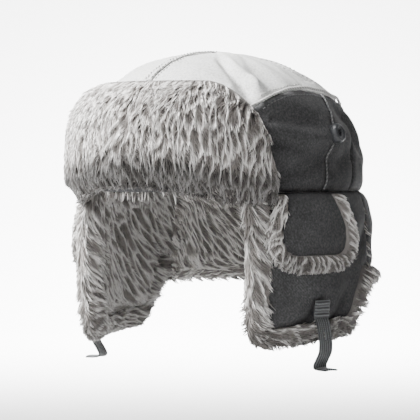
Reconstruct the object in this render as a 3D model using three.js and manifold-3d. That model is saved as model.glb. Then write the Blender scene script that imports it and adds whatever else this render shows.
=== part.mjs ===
// A trapper-style ushanka in millimetres, +Z up, its front towards -Y, the wearer's left at +X.
// The origin is the centre of the head opening at the waist seam, where crown and flaps meet.
// Soft walls are grids of two layers: an outer and an inner surface joined round their border.
import * as THREE from "three";
import { mergeVertices } from "three/addons/utils/BufferGeometryUtils.js";
import Module from "manifold-3d";

const wasm = await Module();
wasm.setup();

// Crown
const crownHalfWidth = 100;
const crownHalfDepth = 122;
const crownHeight = 106;
const crownLean = 20; // how far the top of the crown sits in front of the waist's centre
const crownWall = 3; // cloth with its padding
const waistTuck = 4; // depth of the crease at the waist seam
const tuckReach = 4.5; // how fast that crease dies out above and below
const dentFree = 15; // the dents fade out over this height above the waist
const deepestDent = 3.2;

// Cloth, seams and clearances
const clearance = 0.3;
const clothThickness = 2;
const pipingRadius = 1.1;
const pipingStartAngle = 54; // where the piping comes out from behind the front flap
const sidePipingRadius = 0.9;
const seamTapeWidth = 5;
const seamTapeThickness = 0.8;

// Fur
const liningHeight = 30;
const liningPile = 10;
const earPile = 13;
const neckPile = 11;
const lockRelief = 2; // how far the locks stand proud of the fur's mean surface
const lockSag = 3; // how far the tip of a lock hangs below its root
const trimWidth = 13;
const trimRise = 3; // how far the fur edge stands above the cloth beside it

// Flaps below the waist
const earFlapLength = 115;
const neckFlapLength = 72;
const flapBulge = 5; // how far the flaps swell between waist and hem
const earFlapFrontAngle = 47;
const earFlapBackAngle = 112;
const hemStepAngle = 17; // stretch over which the hem climbs from ear flap to neck flap
const hemSlope = 7; // how much higher the ear flap's hem is behind than in front
const hemCornerRadius = 19;

// Turned-up front flap
const frontFlapHeight = 84;
const frontFlapHalfAngle = 57;
const frontFlapPile = 13;
const frontCornerRadius = 46;
const browArch = 14; // how much higher the lower edge is over the brow than at the ends
const browDrop = 7; // how far the lower edge hangs below the waist at the ends

// Ear covers, the small flaps on the sides
const coverHalfAngle = 19.5;
const coverNarrowing = 0.2; // share of its width that a cover loses towards the waist
const coverLength = 57;
const coverCentreAngle = 73.5;
const coverPile = 4.5;
const coverStandOff = 1.5; // gap to the ear flap at the cover's lower edge
const coverCornerRadius = 24;
const coverTrimWidth = 10;
const coverTopDrop = 1.2; // from the waist to the cover's sewn edge

// Snap buttons and straps
const buttonHeight = 43;
const buttonRadius = 7.5;
const buttonProjection = 6.5;
const buttonWellRadius = 3;
const buttonWellDepth = 2.5;
const strapAngle = 77;
const strapWidth = 14;
const strapThickness = 1.6;
const strapRise = 31; // from the ear flap's hem up to the strap's sewn end
const strapStart = earFlapLength - strapRise;
const strapFall = 47; // height between the strap's two ends
const strapBow = 9; // how far the strap bows out on its way down
const slotLength = 7;
const slotWidth = 2.6;
const tabHeight = 13;
const tabThickness = 1.4;
const tabRib = 0.9;

// Height of the seam between the light top and the dark walls, as a share of the crown's height.
const topSeam = [
  { angle: 0, rise: 0.5 },
  { angle: 30, rise: 0.53 },
  { angle: 55, rise: 0.6 },
  { angle: 66, rise: 0.67 },
  { angle: 80, rise: 0.72 },
  { angle: 95, rise: 0.725 },
  { angle: 110, rise: 0.7 },
  { angle: 130, rise: 0.645 },
  { angle: 155, rise: 0.59 },
  { angle: 180, rise: 0.57 },
];

// Soft dents of the crown: centre, run across and up, half width and depth, as shares of its sizes.
const crownDents = [
  { side: 1, angle: 74, rise: 0.33, run: 0.26, climb: -0.07, width: 0.05, depth: 0.018 },
  { side: 1, angle: 80, rise: 0.19, run: 0.36, climb: 0.16, width: 0.06, depth: 0.022 },
  { side: 1, angle: 51, rise: 0.82, run: 0.02, climb: 0.2, width: 0.06, depth: 0.026 },
  { side: 1, angle: 118, rise: 0.3, run: 0.05, climb: 0.22, width: 0.06, depth: 0.02 },
  { side: 1, angle: 152, rise: 0.25, run: 0.22, climb: -0.1, width: 0.06, depth: 0.02 },
  { side: -1, angle: 70, rise: 0.28, run: 0.3, climb: 0.1, width: 0.06, depth: 0.02 },
  { side: -1, angle: 98, rise: 0.2, run: 0.24, climb: -0.12, width: 0.05, depth: 0.018 },
  { side: -1, angle: 58, rise: 0.83, run: 0.03, climb: 0.18, width: 0.06, depth: 0.024 },
  { side: -1, angle: 128, rise: 0.33, run: 0.06, climb: 0.2, width: 0.06, depth: 0.02 },
];

// Section of the front flap from its root to its top: height on the fur side, thickness as a share
// of the pile, and height on the crown side. Heights run from the lower edge, 0, to the top, 1.
const frontFlapSection = [
  { rise: 0, bulk: 0.12, back: 0 },
  { rise: 0, bulk: 0.5, back: 0.03 },
  { rise: 0.01, bulk: 0.85, back: 0.06 },
  { rise: 0.1, bulk: 1, back: 0.14 },
  { rise: 0.24, bulk: 1.04, back: 0.26 },
  { rise: 0.4, bulk: 0.98, back: 0.4 },
  { rise: 0.56, bulk: 0.94, back: 0.56 },
  { rise: 0.71, bulk: 0.92, back: 0.71 },
  { rise: 0.84, bulk: 0.86, back: 0.84 },
  { rise: 0.95, bulk: 0.66, back: 0.94 },
  { rise: 1, bulk: 0.3, back: 1 },
];

// Course of a strap: its fall and its distance from the cloth, as shares of strapFall and strapBow.
const strapCourse = [
  { fall: 0, bow: 0 },
  { fall: 0.16, bow: 0.04 },
  { fall: 0.28, bow: 0.36 },
  { fall: 0.42, bow: 0.62 },
  { fall: 0.6, bow: 0.9 },
  { fall: 0.74, bow: 0.92 },
  { fall: 0.86, bow: 0.6 },
  { fall: 0.96, bow: 0.36 },
  { fall: 0.99, bow: 0.62 },
  { fall: 1, bow: 1.6 },
];

const lightCloth = new THREE.MeshStandardMaterial({ color: 0xd6d6d4, roughness: 0.85, metalness: 0 });
const darkCloth = new THREE.MeshStandardMaterial({ color: 0x3a3a3b, roughness: 0.9, metalness: 0 });
const fur = new THREE.MeshStandardMaterial({ color: 0x8f8b87, roughness: 0.95, metalness: 0 });
const webbing = new THREE.MeshStandardMaterial({ color: 0x454748, roughness: 0.8, metalness: 0 });
const snapPlastic = new THREE.MeshStandardMaterial({ color: 0x333436, roughness: 0.5, metalness: 0 });
const lightPiping = new THREE.MeshStandardMaterial({ color: 0xc9c8c5, roughness: 0.8, metalness: 0 });

const radians = THREE.MathUtils.degToRad;
const clamp = THREE.MathUtils.clamp;
const smoothstep = THREE.MathUtils.smoothstep;
const meanRadius = (crownHalfWidth + crownHalfDepth) / 2;
const mmPerDegree = radians(meanRadius);
const hat = new THREE.Group();

function addPiece(name, geometry, material) {
  const mesh = new THREE.Mesh(geometry, material);
  mesh.name = name;
  hat.add(mesh);
  return mesh;
}

// A smooth curve through the rows of a table, read at x: a cubic with central slopes.
function readTable(table, x, across, up) {
  const last = table.length - 1;
  let k = 0;
  while (k < last - 1 && table[k + 1][across] < x) k += 1;
  const slope = (i) => {
    const a = table[Math.max(i - 1, 0)];
    const b = table[Math.min(i + 1, last)];
    return (b[up] - a[up]) / (b[across] - a[across]);
  };
  const [p, q] = [table[k], table[k + 1]];
  const span = q[across] - p[across];
  const t = clamp((x - p[across]) / span, 0, 1);
  const [t2, t3] = [t * t, t * t * t];
  return (
    (2 * t3 - 3 * t2 + 1) * p[up] +
    (t3 - 2 * t2 + t) * span * slope(k) +
    (3 * t2 - 2 * t3) * q[up] +
    (t3 - t2) * span * slope(k + 1)
  );
}

const steps = (from, to, count) =>
  Array.from({ length: count + 1 }, (_, i) => from + ((to - from) * i) / count);

// A repeatable value from -1 to 1 for a pair of whole numbers.
function scatter(i, j) {
  const wave = Math.sin(i * 12.9898 + j * 78.233) * 43758.5453;
  return 2 * (wave - Math.floor(wave)) - 1;
}

// Locks of fur on a grid: every other point is a tip that stands out and hangs, as shingles do.
function lock(i, j) {
  const tip = (i + j) % 2 === 1;
  return { out: lockRelief * ((tip ? 1 : -0.6) + 0.4 * scatter(i, j)), down: tip ? lockSag : 0 };
}

const noLock = { out: 0, down: 0 };

// A closed solid from triangles given as corner points, turned to face outwards.
function solidFrom(triangles) {
  const kept = triangles.filter(
    ([a, b, c]) => a.distanceTo(b) > 1e-3 && b.distanceTo(c) > 1e-3 && c.distanceTo(a) > 1e-3,
  );
  const volume = kept.reduce((sum, [a, b, c]) => sum + a.dot(b.clone().cross(c)), 0);
  const facing = volume < 0 ? kept.map(([a, b, c]) => [a, c, b]) : kept;
  const geometry = new THREE.BufferGeometry().setFromPoints(facing.flat());
  geometry.computeVertexNormals();
  return geometry;
}

// The solid between two surfaces given over the same grid; a loop closes on itself along i.
// The squares' diagonals alternate, so that each tip of a lock stands alone.
function layered(columns, rows, outer, inner, loop = false) {
  const grid = (surface) => columns.map((u, i) => rows.map((v, j) => surface(u, v, i, j)));
  const [top, under] = [grid(outer), grid(inner)];
  const triangles = [];
  const quad = (a, b, c, d, flipped = false) => {
    if (flipped) triangles.push([a, b, d], [b, c, d]);
    else triangles.push([a, b, c], [a, c, d]);
  };
  const spans = loop ? columns.length : columns.length - 1;
  for (let i = 0; i < spans; i += 1) {
    const n = (i + 1) % columns.length;
    for (let j = 0; j < rows.length - 1; j += 1) {
      const flipped = (i + j) % 2 === 1;
      quad(top[i][j], top[n][j], top[n][j + 1], top[i][j + 1], flipped);
      quad(under[i][j], under[i][j + 1], under[n][j + 1], under[n][j], flipped);
    }
    const end = rows.length - 1;
    quad(top[n][0], top[i][0], under[i][0], under[n][0]);
    quad(top[i][end], top[n][end], under[n][end], under[i][end]);
  }
  if (!loop) {
    const end = columns.length - 1;
    for (let j = 0; j < rows.length - 1; j += 1) {
      quad(top[0][j], top[0][j + 1], under[0][j + 1], under[0][j]);
      quad(top[end][j + 1], top[end][j], under[end][j], under[end][j + 1]);
    }
  }
  return solidFrom(triangles);
}

// Share of the waist's size that the crown keeps at a height: a cubic dome.
function crownShare(z) {
  const rise = clamp(z / crownHeight, 0, 1);
  return Math.sqrt(Math.max(0, 1 - rise ** 3));
}

const leanAt = (z) => -crownLean * clamp(z / crownHeight, 0, 1);
const tuckAt = (z) => waistTuck * Math.exp(-Math.abs(z) / tuckReach);

// Depth of the dents at a place on the crown.
function dentAt(angle, z) {
  const side = Math.sin(radians(angle)) < 0 ? -1 : 1;
  const turned = Math.abs(((angle + 180) % 360) - 180);
  let depth = 0;
  for (const dent of crownDents) {
    if (dent.side !== side) continue;
    const across = radians(turned - dent.angle) * meanRadius;
    const up = z - dent.rise * crownHeight;
    const run = dent.run * meanRadius;
    const climb = dent.climb * crownHeight;
    const length = Math.hypot(run, climb);
    const along = (across * run + up * climb) / length;
    const off = (across * climb - up * run) / length;
    const reach = (2 * off) / (dent.width * meanRadius * 2);
    depth += dent.depth * meanRadius * Math.exp(-(reach ** 2) - ((2 * along) / length) ** 2);
  }
  return deepestDent * (1 - Math.exp(-depth / deepestDent));
}

// A point on the crown, inset from its outer surface. Turn runs from 0 at the waist to 1 at the top.
function crownPoint(angle, turn, inset) {
  const bend = (turn * Math.PI) / 2;
  const rise = Math.sin(bend) ** (2 / 3);
  const z = crownHeight * rise;
  const dented = dentAt(angle, z) * Math.min(1, 4 * (1 - turn)) * smoothstep(z, 0, dentFree);
  const depth = inset + dented + tuckAt(z);
  const share = Math.cos(bend);
  return new THREE.Vector3(
    (crownHalfWidth - depth) * share * Math.sin(radians(angle)),
    -(crownHalfDepth - depth) * share * Math.cos(radians(angle)) + leanAt(z),
    z - (depth * z) / crownHeight,
  );
}

// The turn of the dome at which a share of the crown's height is reached.
const turnAt = (rise) => (Math.asin(rise ** 1.5) * 2) / Math.PI;

function seamTurn(angle) {
  const turned = Math.abs(((angle + 180) % 360) - 180);
  return turnAt(readTable(topSeam, turned, "angle", "rise"));
}

// A point beside the crown at a height, set out level from its undented surface.
function besideCrown(angle, z, out) {
  const share = crownShare(z);
  return new THREE.Vector3(
    (crownHalfWidth * share + out) * Math.sin(radians(angle)),
    -(crownHalfDepth * share + out) * Math.cos(radians(angle)) + leanAt(z),
    z,
  );
}

// A point on the flaps' outer cloth surface below the waist, set out from it.
function besideFlap(angle, z, out) {
  const swell = flapBulge * Math.sin(Math.PI * clamp(-z / earFlapLength, 0, 1) ** 0.8);
  const reach = swell - tuckAt(z) + out;
  return new THREE.Vector3(
    (crownHalfWidth + reach) * Math.sin(radians(angle)),
    -(crownHalfDepth + reach) * Math.cos(radians(angle)),
    z,
  );
}

// Crown walls
const gapAngle = THREE.MathUtils.radToDeg(clearance / crownHalfWidth);
const gapTurn = clearance / crownHeight / 2;
const sideColumns = 10;
const rearColumns = 2;
const backColumns = 12;
const waistTurn = turnAt(clearance / 2 / crownHeight);
const sideSeamFootAngle = 82;
const sideSeamClimbAngle = 22;
const rearSeamFootAngle = 102;
const rearSeamClimbAngle = 15;
const sideSeamAngle = (v) => sideSeamFootAngle + sideSeamClimbAngle * v ** 0.75;
const rearSeamAngle = (v) => rearSeamFootAngle + rearSeamClimbAngle * v ** 0.75;

// A wall panel between two seams, each given as an angle for a share of the way up.
function wallPanel(fromAngle, toAngle, columns) {
  const place = (inset) => (u, v) => {
    const angle = fromAngle(v) + (toAngle(v) - fromAngle(v)) * u;
    const top = seamTurn(angle) - gapTurn;
    return crownPoint(angle, waistTurn + (top - waistTurn) * v, inset);
  };
  const rows = [0, 0.04, 0.1, 0.2, 0.35, 0.5, 0.66, 0.82, 1];
  return layered(steps(0, 1, columns), rows, place(0), place(crownWall));
}

function addCrown() {
  for (const [name, side] of [["left", 1], ["right", -1]]) {
    const front = () => side * (gapAngle / 2);
    const seam = (gap) => (v) => side * (sideSeamAngle(v) + gap);
    const rear = (gap) => (v) => side * (rearSeamAngle(v) + gap);
    const sidePanel = wallPanel(front, seam(-gapAngle / 2), sideColumns);
    const rearPanel = wallPanel(seam(gapAngle / 2), rear(-gapAngle / 2), rearColumns);
    addPiece(`crown_side_${name}`, sidePanel, darkCloth);
    addPiece(`crown_rear_side_${name}`, rearPanel, darkCloth);
    addPiece(`crown_top_${name}`, crownTop(side), lightCloth);
  }
  const left = (v) => rearSeamAngle(v) + gapAngle / 2;
  const right = (v) => 360 - rearSeamAngle(v) - gapAngle / 2;
  addPiece("crown_back", wallPanel(left, right, backColumns), darkCloth);
}

// Half of the light top, from the centre seam to the walls, on the walls' own columns.
function crownTop(side) {
  const sideEnd = sideSeamFootAngle + sideSeamClimbAngle;
  const rearEnd = rearSeamFootAngle + rearSeamClimbAngle;
  const columns = [
    ...steps(0, sideEnd, sideColumns),
    ...steps(sideEnd, rearEnd, rearColumns).slice(1),
    ...steps(rearEnd, 180, backColumns / 2).slice(1),
  ];
  const place = (inset) => (turned, v) => {
    const angle = side * turned;
    const foot = seamTurn(angle) + gapTurn;
    const point = crownPoint(angle, foot + (1 - foot) * v, inset);
    point.x += (side * clearance) / 2;
    return point;
  };
  return layered(columns, [0, 0.18, 0.36, 0.55, 0.75, 1], place(0), place(crownWall));
}

// The flat tape over the centre seam, from the front flap's upper edge over the top to the rear seam.
function addSeamTape() {
  const pipingRoom = (2 * pipingRadius + clearance) / ((crownHeight * Math.PI) / 2);
  const front = turnAt((frontFlapHeight + 4 * clearance) / crownHeight);
  const rear = seamTurn(180) + pipingRoom;
  const reach = 2 - front - rear;
  const place = (lift) => (u, v) => {
    const travel = front + reach * u;
    const angle = travel < 1 ? 0 : 180;
    const turn = travel < 1 ? travel : 2 - travel;
    const point = crownPoint(angle, turn, -lift);
    point.x = (v - 0.5) * seamTapeWidth;
    return point;
  };
  const lift = clearance + (2 * seamTapeWidth ** 2) / (8 * crownHalfWidth);
  const tape = layered(steps(0, 1, 20), [0, 1], place(lift + seamTapeThickness), place(lift));
  addPiece("crown_seam_tape", tape, lightCloth);
}

// A round cord with two ends along a curve.
function openCord(curve, radius, segments, sides) {
  const section = new THREE.Shape();
  const corners = steps(0, sides - 1, sides - 1).map((k) => (2 * Math.PI * k) / sides);
  corners.forEach((turn, k) => {
    const corner = [radius * Math.cos(turn), radius * Math.sin(turn)];
    if (k) section.lineTo(...corner);
    else section.moveTo(...corner);
  });
  section.closePath();
  return new THREE.ExtrudeGeometry(section, { steps: segments, extrudePath: curve });
}

const seamHeight = (angle) => crownPoint(angle, seamTurn(angle), 0).z;
const pipingLift = pipingRadius + clearance + 0.6; // clear of the panels' facets

// Piping on the seam between top and walls, from one end of the front flap round the back.
function addPiping() {
  const start = pipingStartAngle;
  const route = steps(start, 360 - start, 30).map((angle) =>
    crownPoint(angle, seamTurn(angle), -pipingLift),
  );
  const curve = new THREE.CatmullRomCurve3(route);
  addPiece("crown_piping", openCord(curve, pipingRadius, 38, 6), lightPiping);
}

// The piping on the side seams, each in two lengths that stop at the snap button.
function addSidePiping() {
  const lift = sidePipingRadius + clearance + 0.5;
  const room = (buttonRadius + 2 * clearance) / seamHeight(sideSeamFootAngle + sideSeamClimbAngle);
  const lengths = { lower: [0.06, buttonShare - room], upper: [buttonShare + room, 0.9] };
  for (const [name, side] of [["left", 1], ["right", -1]]) {
    for (const [part, [low, high]] of Object.entries(lengths)) {
      const route = steps(low, high, 5).map((v) => {
        const angle = side * sideSeamAngle(v);
        return crownPoint(angle, waistTurn + (seamTurn(angle) - waistTurn) * v, -lift);
      });
      const curve = new THREE.CatmullRomCurve3(route);
      addPiece(`side_piping_${part}_${name}`, openCord(curve, sidePipingRadius, 7, 6), darkCloth);
    }
  }
}

// Fur lining inside the crown, a ring above the waist. Its facets and the crown's don't line up.
function addLining() {
  const facetRoom = 1.1;
  const height = (v) => clearance / 2 + liningHeight * v;
  const outer = (angle, v) => {
    const z = height(v);
    const room = crownWall + clearance + facetRoom + tuckAt(z);
    return besideCrown(angle, z, -room - deepestDent * smoothstep(z, 0, dentFree));
  };
  const inner = (angle, v, i, j) => {
    const edge = v === 0 || v === 1;
    const tuft = edge ? noLock : lock(i, j);
    const pile = edge ? liningPile * 0.7 : liningPile + tuft.out;
    return besideCrown(angle, height(v) - tuft.down / 2, -crownWall - waistTuck - pile);
  };
  const columns = steps(0, 348.75, 31);
  addPiece("crown_lining_fur", layered(columns, [0, 0.1, 0.3, 0.65, 1], outer, inner, true), fur);
}

// Height of the flaps' hem at an angle: long over the ears, stepping up to the neck.
function hemAt(angle) {
  const turned = Math.abs(((angle + 180) % 360) - 180);
  const stepStart = earFlapBackAngle - hemStepAngle;
  const alongEar = (turned - earFlapFrontAngle) / (stepStart - earFlapFrontAngle);
  const earLength = earFlapLength - hemSlope * alongEar;
  const step = smoothstep(turned, stepStart, earFlapBackAngle);
  const length = earLength + (neckFlapLength - earLength) * step;
  const inward = clamp((turned - earFlapFrontAngle) * mmPerDegree, 0, hemCornerRadius);
  const missing = hemCornerRadius - inward;
  return -length + hemCornerRadius - Math.sqrt(hemCornerRadius ** 2 - missing ** 2 * 0.98);
}

// Height of the fur edge over the hem: its width is square to the hem, so it grows where that climbs.
function trimAt(angle) {
  const slope = (hemAt(angle + 1) - hemAt(angle - 1)) / (2 * mmPerDegree);
  const turned = Math.abs(((angle + 180) % 360) - 180);
  const climbs = turned > earFlapFrontAngle + (2 * hemCornerRadius) / mmPerDegree;
  return climbs ? trimWidth * Math.min(Math.hypot(1, slope), 2) : trimWidth;
}

// Rows of a flap: a few at fixed drops below the waist, then shares of the way to its hem.
const flapRows = { drops: [clearance / 2, 4, 10], shares: [0.25, 0.4, 0.55, 0.7, 0.85, 1] };
const coverRows = { drops: [clearance / 2, 6], shares: [0.3, 0.65, 1] };
const rowCount = ({ drops, shares }) => drops.length + shares.length;

function rowHeight({ drops, shares }, row, hem) {
  if (row < drops.length) return -drops[row];
  const start = drops[drops.length - 1];
  return -start + (hem + start) * shares[row - drops.length];
}

// Cloth of a flap, inside the fur edge. A shape gives its rows, its hem, its place and its trim.
function flapCloth(angles, shape) {
  const last = rowCount(shape.rows) - 1;
  const place = (out) => (angle, row) => {
    const hem = shape.hem(angle) + shape.trim(angle) + 2 * clearance;
    return shape.place(angle, rowHeight(shape.rows, row, hem) - shape.top, out);
  };
  return layered(angles, steps(0, last, last), place(0), place(-clothThickness));
}

// Where the fur wraps round a free edge: its share of the trim's width and how far it stands out.
const edgeProfile = [
  { share: 0, lift: -0.6 },
  { share: 0.2, lift: 0.8 },
  { share: 0.55, lift: 1.5 },
  { share: 0.92, lift: 1 },
];

const sewn = Infinity; // the edge step of a column that is sewn to the next piece

// The fur of a flap: pile inside, and an edge that wraps round the cloth to the outside.
// Each column is an angle with its step in from a free edge; a sewn edge has none.
function flapFur(columns, shape) {
  const floor = -clothThickness - clearance;
  const clothRows = rowCount(shape.rows);
  const hemRows = [...edgeProfile].reverse();
  const last = clothRows + hemRows.length - 1;
  const heightOf = (angle, row) => {
    const trim = shape.trim(angle);
    const clothHem = shape.hem(angle) + trim;
    if (row < clothRows) return rowHeight(shape.rows, row, clothHem) - shape.top;
    return clothHem - trim * (1 - hemRows[row - clothRows].share);
  };
  const outer = ({ angle, edge }, row) => {
    const z = heightOf(angle, row);
    const lifts = [];
    if (row >= clothRows) lifts.push(hemRows[row - clothRows].lift);
    if (edge < edgeProfile.length) lifts.push(edgeProfile[edge].lift);
    const out = lifts.length ? trimRise * Math.min(...lifts) * shape.swell(z) : floor;
    return shape.place(angle, z, out);
  };
  const inner = ({ angle, edge }, row, i, j) => {
    const z = heightOf(angle, row);
    const atEdge = edge === 0 || row === last;
    const plain = atEdge || row === 0 || row >= clothRows - 1 || edge === sewn;
    const tuft = plain ? noLock : lock(i, j);
    const pile = atEdge ? shape.pile * 0.55 : shape.pile + tuft.out * shape.locks;
    return shape.place(angle, z - tuft.down * shape.locks, floor - pile * shape.swell(z));
  };
  return layered(columns, steps(0, last, last), outer, inner);
}

// The flaps below the waist: two ear flaps and the neck flap, each cloth outside and fur inside.
function addFlaps() {
  const shape = {
    rows: flapRows,
    hem: hemAt,
    place: besideFlap,
    trim: trimAt,
    top: 0,
    locks: 1,
    swell: () => 1,
  };
  const trimAngle = trimWidth / mmPerDegree;
  const clothStart = earFlapFrontAngle + trimAngle;
  const clothAngles = steps(clothStart + gapAngle, earFlapBackAngle - gapAngle / 2, 9);
  const earShape = { ...shape, pile: earPile };
  for (const [name, side] of [["left", 1], ["right", -1]]) {
    const edge = edgeProfile.map(({ share }, k) => ({
      angle: side * (earFlapFrontAngle + trimAngle * share),
      edge: k,
    }));
    const inside = clothAngles.map((angle, k) => ({
      angle: side * (k ? angle : clothStart),
      edge: k === clothAngles.length - 1 ? sewn : edgeProfile.length + k,
    }));
    addPiece(`ear_flap_fur_${name}`, flapFur([...edge, ...inside], earShape), fur);
    const turned = clothAngles.map((angle) => side * angle);
    addPiece(`ear_flap_cloth_${name}`, flapCloth(turned, earShape), darkCloth);
  }
  const neckStart = earFlapBackAngle + gapAngle / 2;
  const neckAngles = steps(neckStart, 360 - neckStart, 14);
  const neckColumns = neckAngles.map((angle, k) => ({
    angle,
    edge: k === 0 || k === neckAngles.length - 1 ? sewn : edgeProfile.length + k,
  }));
  addPiece("neck_flap_fur", flapFur(neckColumns, { ...shape, pile: neckPile }), fur);
  addPiece("neck_flap_cloth", flapCloth(neckAngles, shape), darkCloth);
}

// The small ear covers, sewn in at the waist and standing off the ear flaps below.
function addCovers() {
  const centre = radians(coverCentreAngle);
  const coverRadius = Math.hypot(crownHalfWidth * Math.cos(centre), crownHalfDepth * Math.sin(centre));
  const mmPerTurn = radians(coverRadius);
  const trimAngle = coverTrimWidth / mmPerTurn;
  const swell = (z) => 0.35 + 0.65 * smoothstep(-z, 0, coverLength / 4);
  const lift = (z) => {
    const pile = (coverPile + lockRelief) * swell(z);
    return clothThickness + 3 * clearance + pile + coverStandOff * clamp(-z / coverLength, 0, 1);
  };
  const hem = (angle) => {
    const inward = (coverHalfAngle - Math.abs(Math.abs(angle) - coverCentreAngle)) * mmPerTurn;
    const missing = coverCornerRadius - clamp(inward, 0, coverCornerRadius);
    const corner = Math.sqrt(coverCornerRadius ** 2 - missing ** 2 * 0.98);
    return -coverLength + coverCornerRadius - corner;
  };
  const place = (angle, z, out) => {
    const middle = Math.sign(angle) * coverCentreAngle;
    const narrow = 1 - coverNarrowing * (1 - smoothstep(-z, 6, coverLength / 2));
    return besideFlap(middle + (angle - middle) * narrow, z, out + lift(z));
  };
  const shape = {
    rows: coverRows,
    hem,
    place,
    trim: () => coverTrimWidth,
    top: coverTopDrop,
    pile: coverPile,
    locks: 0.5,
    swell,
  };
  const clothHalf = coverHalfAngle - trimAngle;
  const clothAngles = steps(coverCentreAngle - clothHalf, coverCentreAngle + clothHalf, 5);
  const ends = { 0: gapAngle, [clothAngles.length - 1]: -gapAngle };
  const edges = edgeProfile.map(({ share }, k) => ({ inset: trimAngle * share, edge: k }));
  for (const [name, side] of [["left", 1], ["right", -1]]) {
    const columns = [
      ...edges.map(({ inset, edge }) => ({ angle: coverCentreAngle - coverHalfAngle + inset, edge })),
      ...clothAngles.map((angle, k) => ({ angle, edge: edgeProfile.length + k })),
      ...edges
        .map(({ inset, edge }) => ({ angle: coverCentreAngle + coverHalfAngle - inset, edge }))
        .reverse(),
    ].map(({ angle, edge }) => ({ angle: side * angle, edge }));
    addPiece(`ear_cover_fur_${name}`, flapFur(columns, shape), fur);
    const inside = clothAngles.map((angle, k) => side * (angle + (ends[k] ?? 0)));
    addPiece(`ear_cover_cloth_${name}`, flapCloth(inside, shape), darkCloth);
  }
}

// The turned-up front flap: fur to the front, cloth against the crown.
function addFrontFlap() {
  const crownGap = clearance + 1; // the two are faceted on different columns
  const clothOut = crownGap + clothThickness;
  const furOut = clothOut + 3 * clearance;
  const root = 0.5;
  const topAt = (share) => {
    const inward = (1 - Math.abs(share)) * frontFlapHalfAngle * mmPerDegree;
    const missing = frontCornerRadius - clamp(inward, 0, frontCornerRadius);
    const corner = Math.sqrt(frontCornerRadius ** 2 - missing ** 2 * 0.985);
    return frontFlapHeight - frontCornerRadius + corner;
  };
  const lowAt = (share) => browArch * Math.cos((Math.PI / 2) * share) ** 2 - browDrop;
  const endBulk = (share) => 1 - 0.55 * smoothstep(Math.abs(share), 0.86, 1);
  const outer = (share, row, i, j) => {
    const [low, top] = [lowAt(share), topAt(share)];
    const tuft = j > 2 && j < frontFlapSection.length - 1 ? lock(i, j) : noLock;
    const z = j ? low + (top - low) * row.rise - tuft.down : root;
    const pile = frontFlapPile * row.bulk * (j ? endBulk(share) : 1);
    return besideCrown(share * frontFlapHalfAngle, z, furOut + pile + tuft.out);
  };
  const back = (out, inset) => (share, row) => {
    const z = root + (topAt(share) - inset - root) * row.back;
    return besideCrown(share * frontFlapHalfAngle, z, out);
  };
  const pad = layered(steps(-1, 1, 24), frontFlapSection, outer, back(furOut, 0));
  addPiece("front_flap_fur", pad, fur);
  const clothRows = frontFlapSection.filter(({ back: rise }) => rise === 0 || rise > 0.1);
  const inset = 2 * clothThickness;
  const cloth = layered(steps(-1, 1, 20), clothRows, back(clothOut, inset), back(crownGap, inset));
  addPiece("front_flap_cloth", cloth, darkCloth);
}

// Snap buttons on the side seams, turned to face out from the crown.
const buttonTurn = turnAt(buttonHeight / crownHeight);
const sideSeamTop = seamTurn(sideSeamFootAngle + sideSeamClimbAngle);
const buttonShare = (buttonTurn - waistTurn) / (sideSeamTop - waistTurn);

function addButtons() {
  const profile = [
    [0, 0],
    [0.9 * buttonRadius, 0],
    [buttonRadius, 0.2 * buttonProjection],
    [buttonRadius, 0.6 * buttonProjection],
    [0.86 * buttonRadius, 0.93 * buttonProjection],
    [0.66 * buttonRadius, buttonProjection],
    [buttonWellRadius, 0.96 * buttonProjection],
    [0.9 * buttonWellRadius, buttonProjection - buttonWellDepth],
    [0, buttonProjection - buttonWellDepth],
  ].map(([x, y]) => new THREE.Vector2(x, y));
  for (const [name, side] of [["left", 1], ["right", -1]]) {
    const angle = side * sideSeamAngle(buttonShare);
    const at = crownPoint(angle, buttonTurn, 0);
    const along = crownPoint(angle + 1, buttonTurn, 0).sub(at);
    const up = crownPoint(angle, buttonTurn + 0.01, 0).sub(at);
    const normal = along.cross(up).normalize().multiplyScalar(side);
    if (normal.x * side < 0) normal.negate();
    const button = addPiece(`snap_button_${name}`, new THREE.LatheGeometry(profile, 14), snapPlastic);
    button.position.copy(at).addScaledVector(normal, 2 * clearance);
    button.quaternion.setFromUnitVectors(new THREE.Vector3(0, 1, 0), normal);
  }
}

// Geometry less a cutter's geometry, by a boolean of two solids.
function cut(geometry, cutter) {
  const solid = (shape) => {
    const bare = new THREE.BufferGeometry();
    bare.setAttribute("position", shape.getAttribute("position"));
    if (shape.index) bare.setIndex(shape.index);
    const merged = mergeVertices(bare, 1e-4);
    const vertProperties = new Float32Array(merged.getAttribute("position").array);
    const triVerts = new Uint32Array(merged.index.array);
    return new wasm.Manifold(new wasm.Mesh({ numProp: 3, vertProperties, triVerts }));
  };
  const mesh = solid(geometry).subtract(solid(cutter)).getMesh();
  const result = new THREE.BufferGeometry();
  result.setAttribute("position", new THREE.BufferAttribute(mesh.vertProperties, 3));
  result.setIndex(new THREE.BufferAttribute(mesh.triVerts, 1));
  return result;
}

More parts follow.
